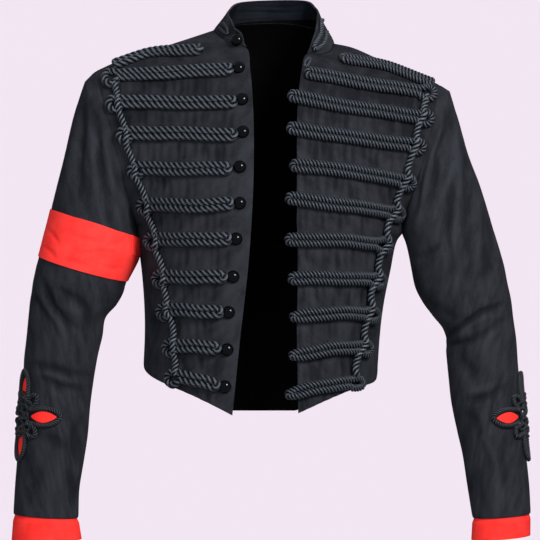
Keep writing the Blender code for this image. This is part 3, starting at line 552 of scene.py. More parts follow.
def glossMaterial():
    material, tree, shader = newMaterial("blackGloss", gloss["shader"])
    place = addNode(tree, "ShaderNodeTexCoord")
    smudge = addNode(tree, "ShaderNodeTexNoise", gloss["smudge"])
    tree.links.new(place.outputs["Object"], smudge.inputs["Vector"])
    spread = addNode(tree, "ShaderNodeMapRange", gloss["roughness"])
    tree.links.new(smudge.outputs[0], spread.inputs["Value"])
    tree.links.new(spread.outputs["Result"], shader.inputs["Roughness"])
    return material


looks["blackGloss"] = glossMaterial()
print("materials are ready")


# a sheet of quads with a UV map in metres
def sheetMesh(name, grid, flip, tube):
    rows, columns = grid.shape[:2]
    wide = columns if tube else columns - 1
    steps = np.linalg.norm(np.diff(grid, axis=0), axis=2)
    down = np.vstack([np.zeros(columns), np.cumsum(steps, axis=0)])
    closed = np.concatenate([grid, grid[:, :1]], axis=1) if tube else grid
    spans = np.linalg.norm(np.diff(closed, axis=1), axis=2).mean(axis=0)
    along = np.concatenate([[0], np.cumsum(spans)])
    quads = []
    places = []
    for row in range(rows - 1):
        for column in range(wide):
            beside = (column + 1) % columns
            corners = [(row, column, column), (row, beside, column + 1),
                       (row + 1, beside, column + 1), (row + 1, column, column)]
            if flip < 0:
                corners.reverse()
            quads.append([r * columns + c for r, c, _ in corners])
            places += [(along[edge], down[r, c]) for r, c, edge in corners]
    mesh = bpy.data.meshes.new(name)
    mesh.from_pydata((grid.reshape(-1, 3) * toMetres).tolist(), [], quads)
    layer = mesh.uv_layers.new(name="cloth")
    layer.data.foreach_set("uv", (np.array(places) * toMetres).ravel())
    return mesh


def addObject(name, mesh, materials):
    thing = bpy.data.objects.new(name, mesh)
    bpy.context.scene.collection.objects.link(thing)
    for material in materials:
        mesh.materials.append(material)
    return thing


def applyModifiers(thing):
    bpy.ops.object.select_all(action="DESELECT")
    thing.select_set(True)
    bpy.context.view_layer.objects.active = thing
    for modifier in list(thing.modifiers):
        bpy.ops.object.modifier_apply(modifier=modifier.name)


def finishPiece(thing, nodes, angle=40):
    applyModifiers(thing)
    bpy.ops.object.shade_smooth_by_angle(angle=math.radians(angle))
    if nodes:
        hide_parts(*nodes)
    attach(thing, "root")


sheetEdge = {
    "bevel": 0.5, "segments": 2, "sharp": 60,
    "foldFull": 3.0, "foldRange": (-0.8, 1.3),      # a fold this deep gets the full painted shade
}


# gives a sheet its thickness, with the lining on its inner face; a given depth becomes painted
# shade in the cloth's colour, and painted light where it is negative
def makeCloth(name, grid, outward, wall, outside, inside, nodes, tube=False,
              depth=None):
    down = np.gradient(grid, axis=0)[1, 1]
    across = np.gradient(grid, axis=1)[1, 1]
    flip = 1 if np.dot(np.cross(across, down), outward[1, 1]) > 0 else -1
    mesh = sheetMesh(name, grid, flip, tube)
    if depth is not None:
        layer = mesh.attributes.new("paintedShade", "FLOAT", "POINT")
        layer.data.foreach_set("value", np.clip(
            depth / sheetEdge["foldFull"], *sheetEdge["foldRange"]).ravel())
    thing = addObject(name, mesh, [looks[outside], looks[inside]])
    solid = thing.modifiers.new("wall", "SOLIDIFY")
    solid.thickness = wall * toMetres
    solid.offset = -1
    solid.material_offset = 1
    edge = thing.modifiers.new("edge", "BEVEL")
    edge.width = sheetEdge["bevel"] * toMetres
    edge.segments = sheetEdge["segments"]
    edge.limit_method = "ANGLE"
    edge.angle_limit = math.radians(sheetEdge["sharp"])
    finishPiece(thing, nodes)
    return thing


# creases as drawn on the front view: x, z points, half width and depth; a negative
# depth is a ridge
def creaseDepth(grid, creases):
    depth = np.zeros(grid.shape[:2])
    x = grid[..., 0]
    z = grid[..., 2]
    for points, width, deep in creases:
        line = np.array(points, float)
        best = np.full(x.shape, 1e9)
        share = np.zeros(x.shape)
        spans = np.linalg.norm(np.diff(line, axis=0), axis=1)
        starts = np.concatenate([[0], np.cumsum(spans)])
        for index, (start, end) in enumerate(zip(line[:-1], line[1:])):
            way = end - start
            t = np.clip(((x - start[0]) * way[0] + (z - start[1]) * way[1]) / (way @ way), 0, 1)
            off = np.hypot(x - start[0] - t * way[0], z - start[1] - t * way[1])
            nearer = off < best
            best = np.where(nearer, off, best)
            share = np.where(nearer, (starts[index] + t * spans[index]) / starts[-1], share)
        fade = np.sin(math.pi * np.clip(share * 0.9 + 0.05, 0, 1)) ** 0.7      # at both ends
        depth += deep * fade * np.exp(-(best / width) ** 2)
    return depth


puckers = {
    "spacing": 10.5, "width": 3.2, "depth": {"right": 2.0, "left": 2.7}, "seed": 4,
    "rowHalf": 6, "belowLast": 40,      # half a row's height, and the cloth below the last
    "jitter": 3, "lean": 0.12, "middle": (0.3, 0.7), "strength": (0.3, 1.3), "reach": 0.45,
}

frogs = {       # inner x z, middle x z, outer x z
    "right": [
        (-96, -18, -158, -21, -211, -38), (-55, -45, -132, -49, -208, -53),
        (-50, -90, -132, -90, -202, -88), (-49, -134, -119, -132, -188, -131),
        (-57, -179, -112, -180, -173, -179), (-54, -227, -105, -230, -161, -227),
        (-57, -274, -105, -275, -151, -274), (-63, -325, -103, -326, -140, -325),
        (-68, -373, -103, -371, -134, -369), (-71.5, -421, -99, -419, -126, -418),
        (-73, -470, -97, -464, -123, -459),
    ],
    "left": [
        (105, -30, 162, -40, 225, -64), (57, -50, 119, -61, 209, -75),
        (35, -82, 119, -97, 205, -109), (33.7, -125, 119, -138, 194, -147),
        (38, -175, 119, -184, 181, -196), (32, -220, 104, -229, 166, -238),
        (31.2, -275, 104, -276, 149, -281), (35.5, -327, 90, -327, 141, -329),
        (40, -379, 90, -374, 133, -375), (39, -430, 90, -422, 126, -420),
        (34, -482, 77, -472, 115, -468),
    ],
}


# small upright puckers that the sewn cords pull up between two rows
def puckerDepth(grid, side):
    dice = np.random.default_rng(puckers["seed"] + (side == "left"))
    jitter = puckers["jitter"]
    depth = np.zeros(grid.shape[:2])
    x = grid[..., 0]
    z = grid[..., 2]
    rows = frogs[side]
    for above, below in zip(rows[1:], rows[2:] + [None]):
        def level(row, at):
            if row is None:
                return level(rows[-1], at) - puckers["belowLast"]
            return np.interp(sign[side] * at, sign[side] * np.array(row[0:6:2], float),
                             np.array(row[1:6:2], float))
        top = level(above, x) - puckers["rowHalf"]
        bottom = level(below, x) + puckers["rowHalf"]
        share = np.clip((top - z) / (top - bottom), 0, 1)
        held = np.sin(math.pi * share) ** 0.6
        end = abs(above[4]) - abs(above[0])
        for step in np.arange(0, end, puckers["spacing"]):
            at = above[0] + sign[side] * (step + dice.uniform(-jitter, jitter))
            lean = dice.uniform(-puckers["lean"], puckers["lean"])
            middle = dice.uniform(*puckers["middle"])
            deep = puckers["depth"][side] * dice.uniform(*puckers["strength"])
            across = x - at - lean * (z - (top + bottom) / 2)
            reach = np.exp(-((share - middle) / puckers["reach"]) ** 2)
            depth += deep * held * reach * np.exp(-(across / puckers["width"]) ** 2)
    return depth


rolls = {       # how far an edge is turned in, and the distance over which it turns
    "seam": (0.5, 2.0), "hem": (0.5, 1.5), "armhole": (2.6, 4.6),
    "collarSeam": (0.9, 2.5), "collarRim": (0.4, 1.2),
}


def edgeRoll(grid, edges, kind):
    roll, reach = rolls[kind]
    depth = np.zeros(grid.shape[:2])
    rows = np.linalg.norm(np.diff(grid, axis=0), axis=2)
    down = np.vstack([np.zeros(grid.shape[1]), np.cumsum(rows, axis=0)])
    columns = np.linalg.norm(np.diff(grid, axis=1), axis=2)
    along = np.hstack([np.zeros((grid.shape[0], 1)), np.cumsum(columns, axis=1)])
    distances = {"top": down, "bottom": down[-1] - down, "start": along,
                 "end": along[:, -1:] - along}
    for name in edges:
        depth += roll * np.exp(-(distances[name] / reach) ** 2)
    return depth


frontCreases = {
    "right": [
        ([(-150, -60), (-190, -90), (-205, -130)], 12, 1.2),
        ([(-150, -240), (-170, -290), (-160, -350)], 10, 1.6),
        ([(-160, -330), (-150, -400), (-165, -440)], 9, 1.4),
        ([(-60, -400), (-70, -450), (-60, -490)], 10, 1.2),
        ([(-100, -400), (-112, -440), (-108, -480)], 8, 1.0),
    ],
    "left": [
        ([(150, -70), (190, -100), (205, -140)], 12, 1.2),
        ([(160, -240), (165, -290), (150, -350)], 10, 1.6),
        ([(140, -330), (135, -400), (148, -440)], 9, 1.4),
        ([(60, -400), (66, -450), (58, -490)], 10, 1.2),
        ([(100, -400), (108, -440), (104, -480)], 8, 1.0),
    ],
}


# painted shade on each front at each height, painted light where negative, where the lamps fall
# unevenly on the two fronts
frontPaintedShade = {
    "right": ((-510, -180, -100, -40), (-1.0, -1.4, 0.6, 0.6)),
    "left": ((-510, -250, -150, -90, -30), (-1.2, -0.8, 0.0, 1.3, 2.0)),
}


# shares across and down for a grid of so many rows and columns
def spread(size, across, down):
    return np.linspace(*across, size[1])[None, :], np.linspace(*down, size[0])[:, None]


def makeFront(side):
    grid = frontPoint(side, *spread(body["frontGrid"], (0, 1), (0, body["hemRow"])))
    outward = outwardOf(grid, -sign[side], False)
    folds = puckerDepth(grid, side) + creaseDepth(grid, frontCreases[side])
    edges = (edgeRoll(grid, ["end", "top"], "seam")
             + edgeRoll(grid, ["start", "bottom"], "hem"))
    grid = grid - outward * (folds + edges)[..., None]
    # the creases' and puckers' painted shade, made stronger, plus the painted shade and light by
    # height
    return makeCloth(f"cloth_front_{side}", grid, outward, body["wall"], "blackWool",
                     "blackLining", [f"front_{side}"],
                     depth=folds * 1.4 + np.interp(grid[..., 2], *frontPaintedShade[side]))


backCreases = [
    ([(-150, -70), (-120, -140), (-140, -220)], 14, 1.6),
    ([(150, -80), (125, -150), (140, -220)], 14, 1.6),
    ([(-60, -120), (-50, -200), (-62, -300)], 12, 1.2),
    ([(55, -110), (62, -190), (50, -290)], 12, 1.2),
    ([(-90, -330), (0, -345), (80, -335)], 12, 1.5),
    ([(-120, -380), (-20, -372), (60, -385)], 12, 1.3),
    ([(-150, -300), (-135, -370), (-140, -430)], 9, 1.4),
    ([(140, -300), (128, -370), (132, -430)], 9, 1.4),
    ([(-30, -420), (-26, -460), (-34, -500)], 9, 1.0),
    ([(48, -410), (44, -450), (50, -490)], 9, 1.0),
]


def makeBack():
    grid = backPoint(*spread(body["backGrid"], (-1, 1), (0, body["hemRow"])))
    outward = outwardOf(grid, 1.0, False)
    folds = creaseDepth(grid, backCreases)
    edges = (edgeRoll(grid, ["start", "end", "top"], "seam")
             + edgeRoll(grid, ["bottom"], "hem"))
    grid = grid - outward * (folds + edges)[..., None]
    # the creases are also painted into the colour as shade
    return makeCloth("cloth_back", grid, outward, body["wall"], "blackWool", "blackLining",
                     ["back"], depth=folds)


def makeCollar():
    grid = collarPoint(*spread(collar["grid"], (-3, 3), (1, 0)))
    outward = outwardOf(grid, 1.0, False)
    edges = (edgeRoll(grid, ["bottom"], "collarSeam")
             + edgeRoll(grid, ["top", "start", "end"], "collarRim"))
    behind = grid[..., 1] > 0
    creases = creaseDepth(grid, collar["creases"]) * behind
    grid = grid - outward * (edges - creases)[..., None]
    # the creases behind the neck are also painted into the colour as shade, twice as strong
    thing = makeCloth("cloth_collar", grid, outward, collar["wall"], "blackWool", "navyFacing",
                      ["collar"], depth=creases * 2)
    thing.data.materials.append(looks["blackLining"])
    seam = np.array(collar["seam"], float) * toMetres
    for face in thing.data.polygons:      # the lining starts below the facing's seam
        below = face.center.z < np.interp(face.center.x, seam[:, 0], seam[:, 1])
        if face.material_index == 1 and below:
            face.material_index = 2
    return thing


sleeveCreases = {
    "right": {"front": [
        ([(-228, -70), (-232, -100), (-236, -125)], 7, 1.6),
        ([(-258, -95), (-267, -158), (-275, -226)], 6, -1.8),
        ([(-249, -95), (-253, -156), (-256, -216)], 5.5, 3.2),
        ([(-240, -120), (-237, -172), (-232, -212), (-222, -256)], 5, -1.8),
        ([(-231, -112), (-227, -167), (-220, -208), (-211, -250)], 5, 3.0),
        ([(-223, -112), (-218, -158), (-211, -194), (-200, -240)], 4.5, -1.6),
        ([(-212, -128), (-207, -172), (-197, -216)], 4.5, 2.6),
        ([(-268, -105), (-279, -170), (-287, -218)], 6, 2.0),
        ([(-312, -328), (-308, -345), (-300, -363), (-285, -386), (-277, -410), (-278, -440)],
         6, -2.0),
        ([(-304, -330), (-292, -363), (-276, -383), (-254, -396)], 5, 3.4),
        ([(-286, -341), (-260, -354), (-247, -367), (-240, -386)], 6, 3.2),
        ([(-320, -343), (-305, -370), (-292, -387), (-286, -403)], 5.5, 2.8),
        ([(-278, -364), (-264, -371), (-250, -380)], 7, -1.8),
        ([(-320, -443), (-294, -447), (-268, -456), (-242, -458)], 6, 2.6),
        ([(-314, -456), (-292, -457), (-270, -467)], 5, -1.5),
        ([(-308, -459), (-283, -471), (-246, -477)], 5, 2.4),
        ([(-298, -479), (-280, -488), (-268, -507)], 6, -1.4),
        ([(-312, -535), (-290, -545), (-268, -557)], 7, 2.0),
        ([(-254, -515), (-262, -545), (-258, -580)], 7, 2.0),
        ([(-290, -555), (-284, -590), (-292, -618)], 9, -1.8),
        ([(-328, -565), (-316, -600), (-322, -635)], 8, 1.8),
        ([(-268, -582), (-262, -615), (-266, -643)], 8, 1.8),
    ], "behind": [
        ([(-215, -110), (-225, -170), (-235, -240)], 7, 2.8),
        ([(-240, -100), (-252, -160), (-262, -220)], 6, 2.4),
        ([(-228, -115), (-238, -170), (-248, -235)], 5, -1.6),
        ([(-300, -340), (-270, -362), (-240, -370)], 6, 3.2),
        ([(-310, -390), (-280, -410), (-250, -415)], 6, 2.8),
        ([(-305, -365), (-278, -385), (-252, -392)], 6, -1.8),
        ([(-300, -520), (-280, -560), (-270, -600)], 8, 2.0),
        ([(-322, -470), (-296, -480), (-262, -474)], 6, 2.2),
    ]},
    "left": {"front": [
        ([(236, -100), (234, -124), (221, -158), (213, -190), (207, -225), (198, -259)],
         5, -1.8),
        ([(245, -98), (241, -124), (230, -163), (223, -203), (214, -234)], 5, 3.0),
        ([(256, -110), (255, -136), (252, -171), (241, -203), (230, -230), (216, -259),
          (204, -287)], 6, -2.2),
        ([(248, -210), (243, -242), (242, -275), (246, -304)], 5, 2.6),
        ([(259, -160), (259, -203), (255, -237), (250, -271), (255, -305), (252, -352)],
         5.5, -2.0),
        ([(266, -150), (268, -200), (267, -250), (272, -300), (270, -350)], 7, 3.0),
        ([(224, -125), (212, -165), (205, -200), (199, -238)], 4.5, 2.4),
        ([(200, -302), (216, -293), (232, -283)], 5, 2.6),
        ([(290, -205), (300, -260), (296, -305)], 8, 2.0),
        ([(283, -222), (284, -275), (280, -315)], 7, -1.6),
        ([(279, -332), (295, -318), (308, -298)], 6, 1.8),
        ([(236, -412), (252, -398), (268, -386), (288, -372), (320, -362)], 4, 3.8),
        ([(248, -414), (273, -391), (295, -380), (316, -378)], 4.5, -1.8),
        ([(236, -419), (273, -411), (295, -399), (314, -384)], 4.5, 3.2),
        ([(286, -427), (296, -410), (316, -391)], 4.5, -1.6),
        ([(298, -393), (294, -425), (298, -455)], 8, -2.0),
        ([(260, -436), (276, -455), (284, -474)], 8, 1.8),
        ([(266, -493), (295, -487), (320, -472)], 5, 2.6),
        ([(272, -481), (300, -475)], 5, -1.4),
        ([(304, -526), (293, -545), (302, -563), (310, -586)], 5, -1.8),
        ([(260, -502), (280, -522), (286, -552)], 8, 2.0),
        ([(318, -535), (316, -570), (324, -603)], 7, 2.0),
        ([(306, -596), (312, -622), (306, -643)], 9, -1.6),
        ([(286, -586), (284, -615), (290, -645)], 7, 1.6),
    ], "behind": [
        ([(215, -120), (228, -180), (236, -240)], 7, 2.8),
        ([(242, -108), (252, -170), (262, -225)], 6, 2.4),
        ([(229, -120), (240, -180), (250, -238)], 5, -1.6),
        ([(300, -340), (270, -362), (240, -370)], 6, 3.2),
        ([(310, -390), (280, -410), (250, -415)], 6, 2.8),
        ([(305, -365), (278, -385), (252, -392)], 6, -1.8),
        ([(300, -520), (285, -560), (290, -600)], 8, 2.0),
        ([(322, -474), (296, -482), (264, -478)], 6, 2.2),
    ]},
}


def makeSleeve(side):
    count, around = sleeve["grid"]
    turns = allRound(around)[None, :]
    rings = np.concatenate([sleeve["tuckedRings"], np.linspace(0, sleeve["hem"], count)])
    rings = rings[:, None]
    grid = sleevePoint(side, rings, turns)
    outward = outwardOf(grid, sign[side], True)
    facing = 1 / (1 + np.exp(outward[..., 1] * 8))      # 1 in front, 0 behind
    creases = sleeveCreases[side]
    folds = (creaseDepth(grid, creases["front"]) * facing
             + creaseDepth(grid, creases["behind"]) * (1 - facing))
    outerShare = np.clip(0.75 * (1 + np.cos(turns)), 0, 1)
    folds = folds * np.clip(rings / sleeve["seamHolds"], 0, 1)
    edges = (edgeRoll(grid, ["top"], "armhole") * outerShare
             + edgeRoll(grid, ["bottom"], "hem"))
    low = -grid[..., 2]
    # painted light under the arm, where the sleeve turns away from the lamps
    degrees, reach, lastRing, fadeRings, paintedLight = sleeve["underarmPaintedLight"]
    atUnderarm = (np.exp(-((np.degrees(turns) - degrees) / reach) ** 2)
                  * np.clip((lastRing - rings) / fadeRings, 0, 1))
    grid = grid - outward * (folds * np.interp(low, *sleeve["creasing"]) + edges)[..., None]
    # the creases' painted shade, stronger low down, less the painted light under the arm
    return makeCloth(f"cloth_sleeve_{side}", grid, outward, sleeve["wall"], "blackWool",
                     "blackLining", [f"sleeve_{side}"], tube=True,
                     depth=folds * np.interp(low, *sleeve["creasePaintedShade"]) - paintedLight * atUnderarm)


def makeCuff(side):
    count, around = sleeve["cuffGrid"]
    first, last = sleeve["cuffRows"][0][0], sleeve["cuffRows"][-1][0]
    grid = cuffPoint(side, np.linspace(first, last, count)[:, None], allRound(around)[None, :])
    outward = outwardOf(grid, sign[side], True)
    return makeCloth(f"cloth_cuff_{side}", grid, outward, sleeve["cuffWall"], "redCloth",
                     "redCloth", [f"cuff_{side}"], tube=True)


armband = {
    "bottom": 7.96, "wall": 1.2, "lift": 0.4, "grid": (60, 150), "endColumns": 40,
    "endLift": 0.2,
    "top": ((0, 60, 120, 180), (5.95, 5.82, 5.5, 4.8)),      # degrees from outside, ring
    "end": (143, 205, 6.85),      # the end lapped over: degrees from and to, lowest ring
    "creases": [
        ([(-301, -254), (-292, -266), (-284, -277)], 3.0, 1.1),
        ([(-289, -266), (-283, -281)], 2.4, 0.8),
        ([(-262, -270), (-245, -274), (-226, -276)], 3.5, 1.2),
        ([(-250, -294), (-230, -290), (-209, -292)], 3.5, 1.3),
        ([(-280, -301), (-262, -304), (-241, -310)], 4.0, 1.3),
        ([(-222, -285), (-208, -280), (-196, -277)], 3.0, 1.1),
        ([(-302, -283), (-292, -292), (-286, -302)], 3.0, 1.2),
        ([(-226, -308), (-210, -314), (-196, -312)], 3.0, 1.1),
    ],
}


def bandGrid(turns, lowest, lift):
    apart = np.abs((np.degrees(turns) + 180) % 360 - 180)
    highest = np.interp(apart, *armband["top"])
    rings = highest + (lowest - highest) * np.linspace(0, 1, armband["grid"][0])[:, None]
    grid = sleevePoint("right", rings, turns)
    outward = outwardOf(grid, sign["right"], True)
    depth = creaseDepth(grid, armband["creases"]) * (outward[..., 1] < 0)
    return grid + outward * (lift - depth)[..., None], outward, depth


def makeArmband():
    turns = allRound(armband["grid"][1])[None, :]
    wall = armband["wall"]
    lift = armband["lift"] + wall
    grid, outward, depth = bandGrid(turns, armband["bottom"], lift)
    # the band's creases are also painted into its colour as shade, twice as strong
    makeCloth("cloth_armband", grid, outward, wall, "bandRedWithPaintedLight", "bandRedWithPaintedLight", ["armband"],
              tube=True, depth=depth * 2)
    start, end, lowest = armband["end"]
    turns = np.radians(np.linspace(start, end, armband["endColumns"]))[None, :]
    grid, outward, depth = bandGrid(turns, lowest, lift + wall + armband["endLift"])
    # the lapped end's creases are painted into its colour as shade too
    makeCloth("cloth_armband_end", grid[:, 1:-1], outward[:, 1:-1], wall, "bandRedWithPaintedLight", "bandRedWithPaintedLight",
              [], depth=depth[:, 1:-1] * 2)


makeBack()
makeCollar()
for side in sign:
    makeFront(side)
    makeSleeve(side)
    makeCuff(side)
makeArmband()
print("the cloth is made")


cord = {
    "radius": 5.2,
    "pairHalf": 4.6,
    "lift": 4.7,
    "lay": {"right": 24.0, "left": 14.5},
    "step": 1.3,                  # between two rings of the cord's mesh
    "offsets": [-1, -0.8, -0.42, 0, 0.42, 0.8],      # a strand's points across its width
    "groove": 0.56,               # how far out the grooves lie, as a share of the radius
    "tip": (2.5, 0.06),           # over which an open end grows, and its smallest share
    "trackPoints": 7,
    "innerShare": 0.06,           # where a row's runs start, from its inner end
    "innerBend": (70, 35, 0, -35, -70),      # degrees round the inner end
    "outerGap": 5,                # kept between the runs' ends and the row's outer end
    "waves": (10, 2.1),           # along a row, and from one row to the next
    # the turn at a row's outer end: steps out and down from the row's end
    "turn": {
        "right": [(1, -5.0), (6, -5.8), (11, -3), (13.2, 3), (11, 9), (5, 12), (-2, 8)],
        "left": [(1, -5.0), (7, -6.4), (13, -4), (16, 2), (13.5, 8), (7, 10), (-1, 7)],
    },
    "linkRise": 4.5,
    "linkRadius": {"right": 4.5, "left": 4.7},
    "linkLay": {"right": 18.0, "left": 19.5},
    "linkAway": 8.0,
    "look": {"right": "thickCord", "left": "fineCord"},
    "wave": 0.5,
    "collarRadius": {"right": 2.4, "left": 3.0}, "collarLay": 12.0,
    "collarLook": {"right": "fineCord", "left": "linkCord"},
    "knotRadius": 3.1,
    # a small loop that stands above the first left row's inner end: x, z
    "smallLoopRadius": 1.8, "smallLoopLay": 8.0,
    "smallLoop": [(49, -41), (50.5, -34.5), (54, -30), (57, -30), (56, -35.5), (52.5, -40.5)],
}

# the long cords that run down over the rows' outer ends: x, z where each leaves a row
# at its lower edge and where it meets the next row's upper edge
links = {
    "right": [(-208, -61, -202, -85), (-201, -102, -190, -132), (-190, -150, -178, -181),
              (-174, -198, -161, -230), (-162, -243, -149, -275), (-151, -289, -139, -323),
              (-141, -336, -135, -365), (-131, -380, -126, -407), (-126, -429, -124, -451)],
    "left": [(215, -78, 210, -100), (204, -117, 200, -137), (194, -161, 188, -181),
             (180, -205, 173, -225), (163, -250, 160, -270), (152, -294, 148, -316),
             (141, -338, 138, -358), (133, -383, 129, -407), (122, -429, 117, -451)],
}


# evenly spaced points on a smooth curve through the given ones, and how far along each lies
def smoothPath(points, step):
    points = np.array(points, float)
    ends = np.vstack([2 * points[0] - points[1], points, 2 * points[-1] - points[-2]])
    pieces = []
    for a, b, c, d in zip(ends[:-3], ends[1:-2], ends[2:-1], ends[3:]):
        count = max(2, int(np.linalg.norm(c[:3] - b[:3]) / 0.5))
        t = np.linspace(0, 1, count, endpoint=False)[:, None]
        pieces.append(0.5 * (2 * b + (c - a) * t + (2 * a - 5 * b + 4 * c - d) * t ** 2
                             + (3 * b - a - 3 * c + d) * t ** 3))
    dense = np.vstack(pieces + [points[-1:]])
    spans = np.linalg.norm(np.diff(dense[:, :3], axis=0), axis=1)
    lengths = np.concatenate([[0], np.cumsum(spans)])
    count = max(4, int(lengths[-1] / step))
    wanted = np.linspace(0, lengths[-1], count)
    even = [np.interp(wanted, lengths, column) for column in dense.T]
    return np.stack(even, axis=1), wanted


# a cord of three twisted strands along points that carry their outward directions
def makeCord(name, points, radius, lay, nodes, closed=False, look="thickCord"):
    if closed:
        points = list(points) + [points[0]]
    path, along = smoothPath(points, cord["step"])
    middle = path[:, :3]
    tangent = unit(np.gradient(middle, axis=0))
    normal = unit(path[:, 3:] - tangent * np.sum(path[:, 3:] * tangent, axis=1, keepdims=True))
    side = np.cross(tangent, normal)
    offsets = np.array(cord["offsets"])
    strands = cordLook["strands"]
    angles = np.concatenate([(offsets + 1 + 2 * strand) * math.pi / strands
                             for strand in range(strands)])
    groove = cord["groove"]
    profile = np.tile(groove + (1 - groove) * np.sqrt(1 - offsets ** 2), strands)
    if closed:
        lay = along[-1] / round(along[-1] / lay)
    turn = angles[None, :] + 2 * math.pi * along[:, None] / lay
    size = radius * profile[None, :] * np.ones((len(along), 1))
    if not closed:
        fromEnd = np.minimum(along, along[-1] - along)
        reach, smallest = cord["tip"]
        size = size * np.sqrt(np.clip(fromEnd / reach, smallest, 1))[:, None]
    rings = (middle[:, None] + np.cos(turn)[..., None] * size[..., None] * normal[:, None]
             + np.sin(turn)[..., None] * size[..., None] * side[:, None])
    if closed:
        rings = rings[:-1]
    count, around = rings.shape[:2]
    quads = []
    places = []
    for ring in range(count if closed else count - 1):
        ahead = (ring + 1) % count
        for spoke in range(around):
            beside = (spoke + 1) % around
            quads.append((ring * around + spoke, ring * around + beside,
                          ahead * around + beside, ahead * around + spoke))
            low, high = spoke / around, (spoke + 1) / around
            start, end = along[ring] * toMetres, along[ring + 1] * toMetres
            places += [(start, low), (start, high), (end, high), (end, low)]
    if not closed:
        quads.append(tuple(reversed(range(around))))
        quads.append(tuple(range((count - 1) * around, count * around)))
        places += [(0, 0.17)] * around * 2
    mesh = bpy.data.meshes.new(name)
    mesh.from_pydata((rings.reshape(-1, 3) * toMetres).tolist(), [], quads)
    layer = mesh.uv_layers.new(name="cord")
    layer.data.foreach_set("uv", np.array(places).ravel())
    thing = addObject(name, mesh, [looks[look]])
    finishPiece(thing, nodes, 50)
    return thing


# how a front's points move for a step across and a step down
def slopesOf(side, across, row):
    points = frontPoint(side, np.array([across + probe, across - probe, across, across]),
                        np.array([row, row, row + probe, row - probe]))
    return np.stack([points[0] - points[1], points[2] - points[3]], axis=1) / (2 * probe)


def outwardFrom(side, slopes):
    return unit(np.cross(slopes[:, 0], slopes[:, 1]) * -sign[side])


searchPlaces = [(a, r) for a in np.linspace(0, 1, 9) for r in np.linspace(0.2, 8.8, 19)]
searchPoints = {side: frontPoint(side, *np.array(searchPlaces).T) for side in sign}


# the place on a front that shows at x, z from straight ahead when it is lifted
def findOnFront(side, x, z, lift):
    points = searchPoints[side]
    across, row = searchPlaces[np.argmin(np.hypot(points[:, 0] - x, points[:, 2] - z))]
    for _ in range(7):
        slopes = slopesOf(side, across, row)
        point = frontPoint(side, across, row) + outwardFrom(side, slopes) * lift
        move = np.linalg.solve(slopes[[0, 2]], [x - point[0], z - point[2]])
        across = float(np.clip(across + move[0], -0.2, 0.99))
        row = float(np.clip(row + move[1], 0.02, 8.98))
    return across, row


def liftedPlace(side, across, row, lift):
    outward = outwardFrom(side, slopesOf(side, across, row))
    return np.concatenate([frontPoint(side, across, row) + outward * lift, outward])


def frogPath(side, index):
    row = frogs[side][index]
    line = [(0.0, *row[0:2]), (0.5, *row[2:4]), (1.0, *row[4:6])]
    half = cord["pairHalf"]
    lift = cord["lift"]
    along, apart = cord["waves"]
    inner = cord["innerShare"]

    def track(share, drop, out=0.0, rise=0.0):
        drop = drop + cord["wave"] * math.sin(share * along + index * apart)
        place = findOnFront(side, *readTable(line, share), lift)
        slopes = slopesOf(side, *place)
        ahead = readTable(line, share + 0.02) - readTable(line, share - 0.02)
        way = unit(slopes @ np.linalg.solve(slopes[[0, 2]], ahead))
        below = np.cross(outwardFrom(side, slopes), way) * -sign[side]
        shift = np.linalg.lstsq(slopes, below * drop + way * out, rcond=None)[0]
        return liftedPlace(side, place[0] + shift[0], place[1] + shift[1], lift + rise)

    length = math.hypot(row[4] - row[0], row[5] - row[1])
    last = 1.0 if index == 0 else 1 - cord["outerGap"] / length
    points = [track(share, half) for share in np.linspace(last, inner, cord["trackPoints"])]
    # the lowest left rows have pointed inner ends and smaller curls
    pointed = 1.6 if side == "left" and index > 7 else 1.0
    for degrees in cord["innerBend"]:
        turn = math.radians(degrees)
        points.append(track(0.0, half / pointed * math.sin(turn),
                            -half * pointed * math.cos(turn)))
    points += [track(share, -half) for share in np.linspace(inner, last, cord["trackPoints"])]
    curl = 0.8 if side == "left" and index > 8 else 1.0
    for out, down in cord["turn"][side] if index > 0 else []:
        place = findOnFront(side, row[4] + sign[side] * out * curl, row[5] - down, lift)
        points.append(liftedPlace(side, *place, lift))
    return points


def linkPath(side):
    points = []
    for startX, startZ, endX, endZ in links[side]:
        for share, rise in ((0.0, 1.5), (0.33, 0), (0.67, 0), (1.0, 2.0)):
            place = findOnFront(side, startX + (endX - startX) * share,
                                startZ + (endZ - startZ) * share, cord["lift"])
            points.append(liftedPlace(side, *place, cord["lift"] + rise))
        place = findOnFront(side, endX, endZ - cord["linkAway"], cord["lift"])
        points.append(liftedPlace(side, *place, cord["lift"] + cord["linkRise"]))
    return points


for side in sign:
    for index in range(len(frogs[side])):
        makeCord(f"rope_{side}_{index:02d}", frogPath(side, index), cord["radius"],
                 cord["lay"][side], [f"frog_{side}_{index:02d}"], closed=index > 0,
                 look=cord["look"][side])
    makeCord(f"rope_link_{side}", linkPath(side), cord["linkRadius"][side],
             cord["linkLay"][side], [], look="linkCord")

thick = cord["smallLoopRadius"]
loop = [liftedPlace("left", *findOnFront("left", x, z, thick), thick)
        for x, z in cord["smallLoop"]]
makeCord("rope_loop_left", loop, thick, cord["smallLoopLay"], [], closed=True, look="linkCord")
print("the frogging is made")

# station, height along each collar cord
collarCords = {
    "right": [(-1.5, 0.28), (-1.7, 0.28), (-1.95, 0.28), (-2.15, 0.30), (-2.25, 0.42),
              (-2.15, 0.56), (-1.95, 0.56), (-1.7, 0.56), (-1.5, 0.56)],
    "left": [(1.6, 0.48), (2.0, 0.40), (2.4, 0.28), (2.8, 0.14), (2.93, 0.34), (2.8, 0.52),
             (2.5, 0.66), (2.2, 0.82), (1.9, 0.84), (1.6, 0.78)],
}


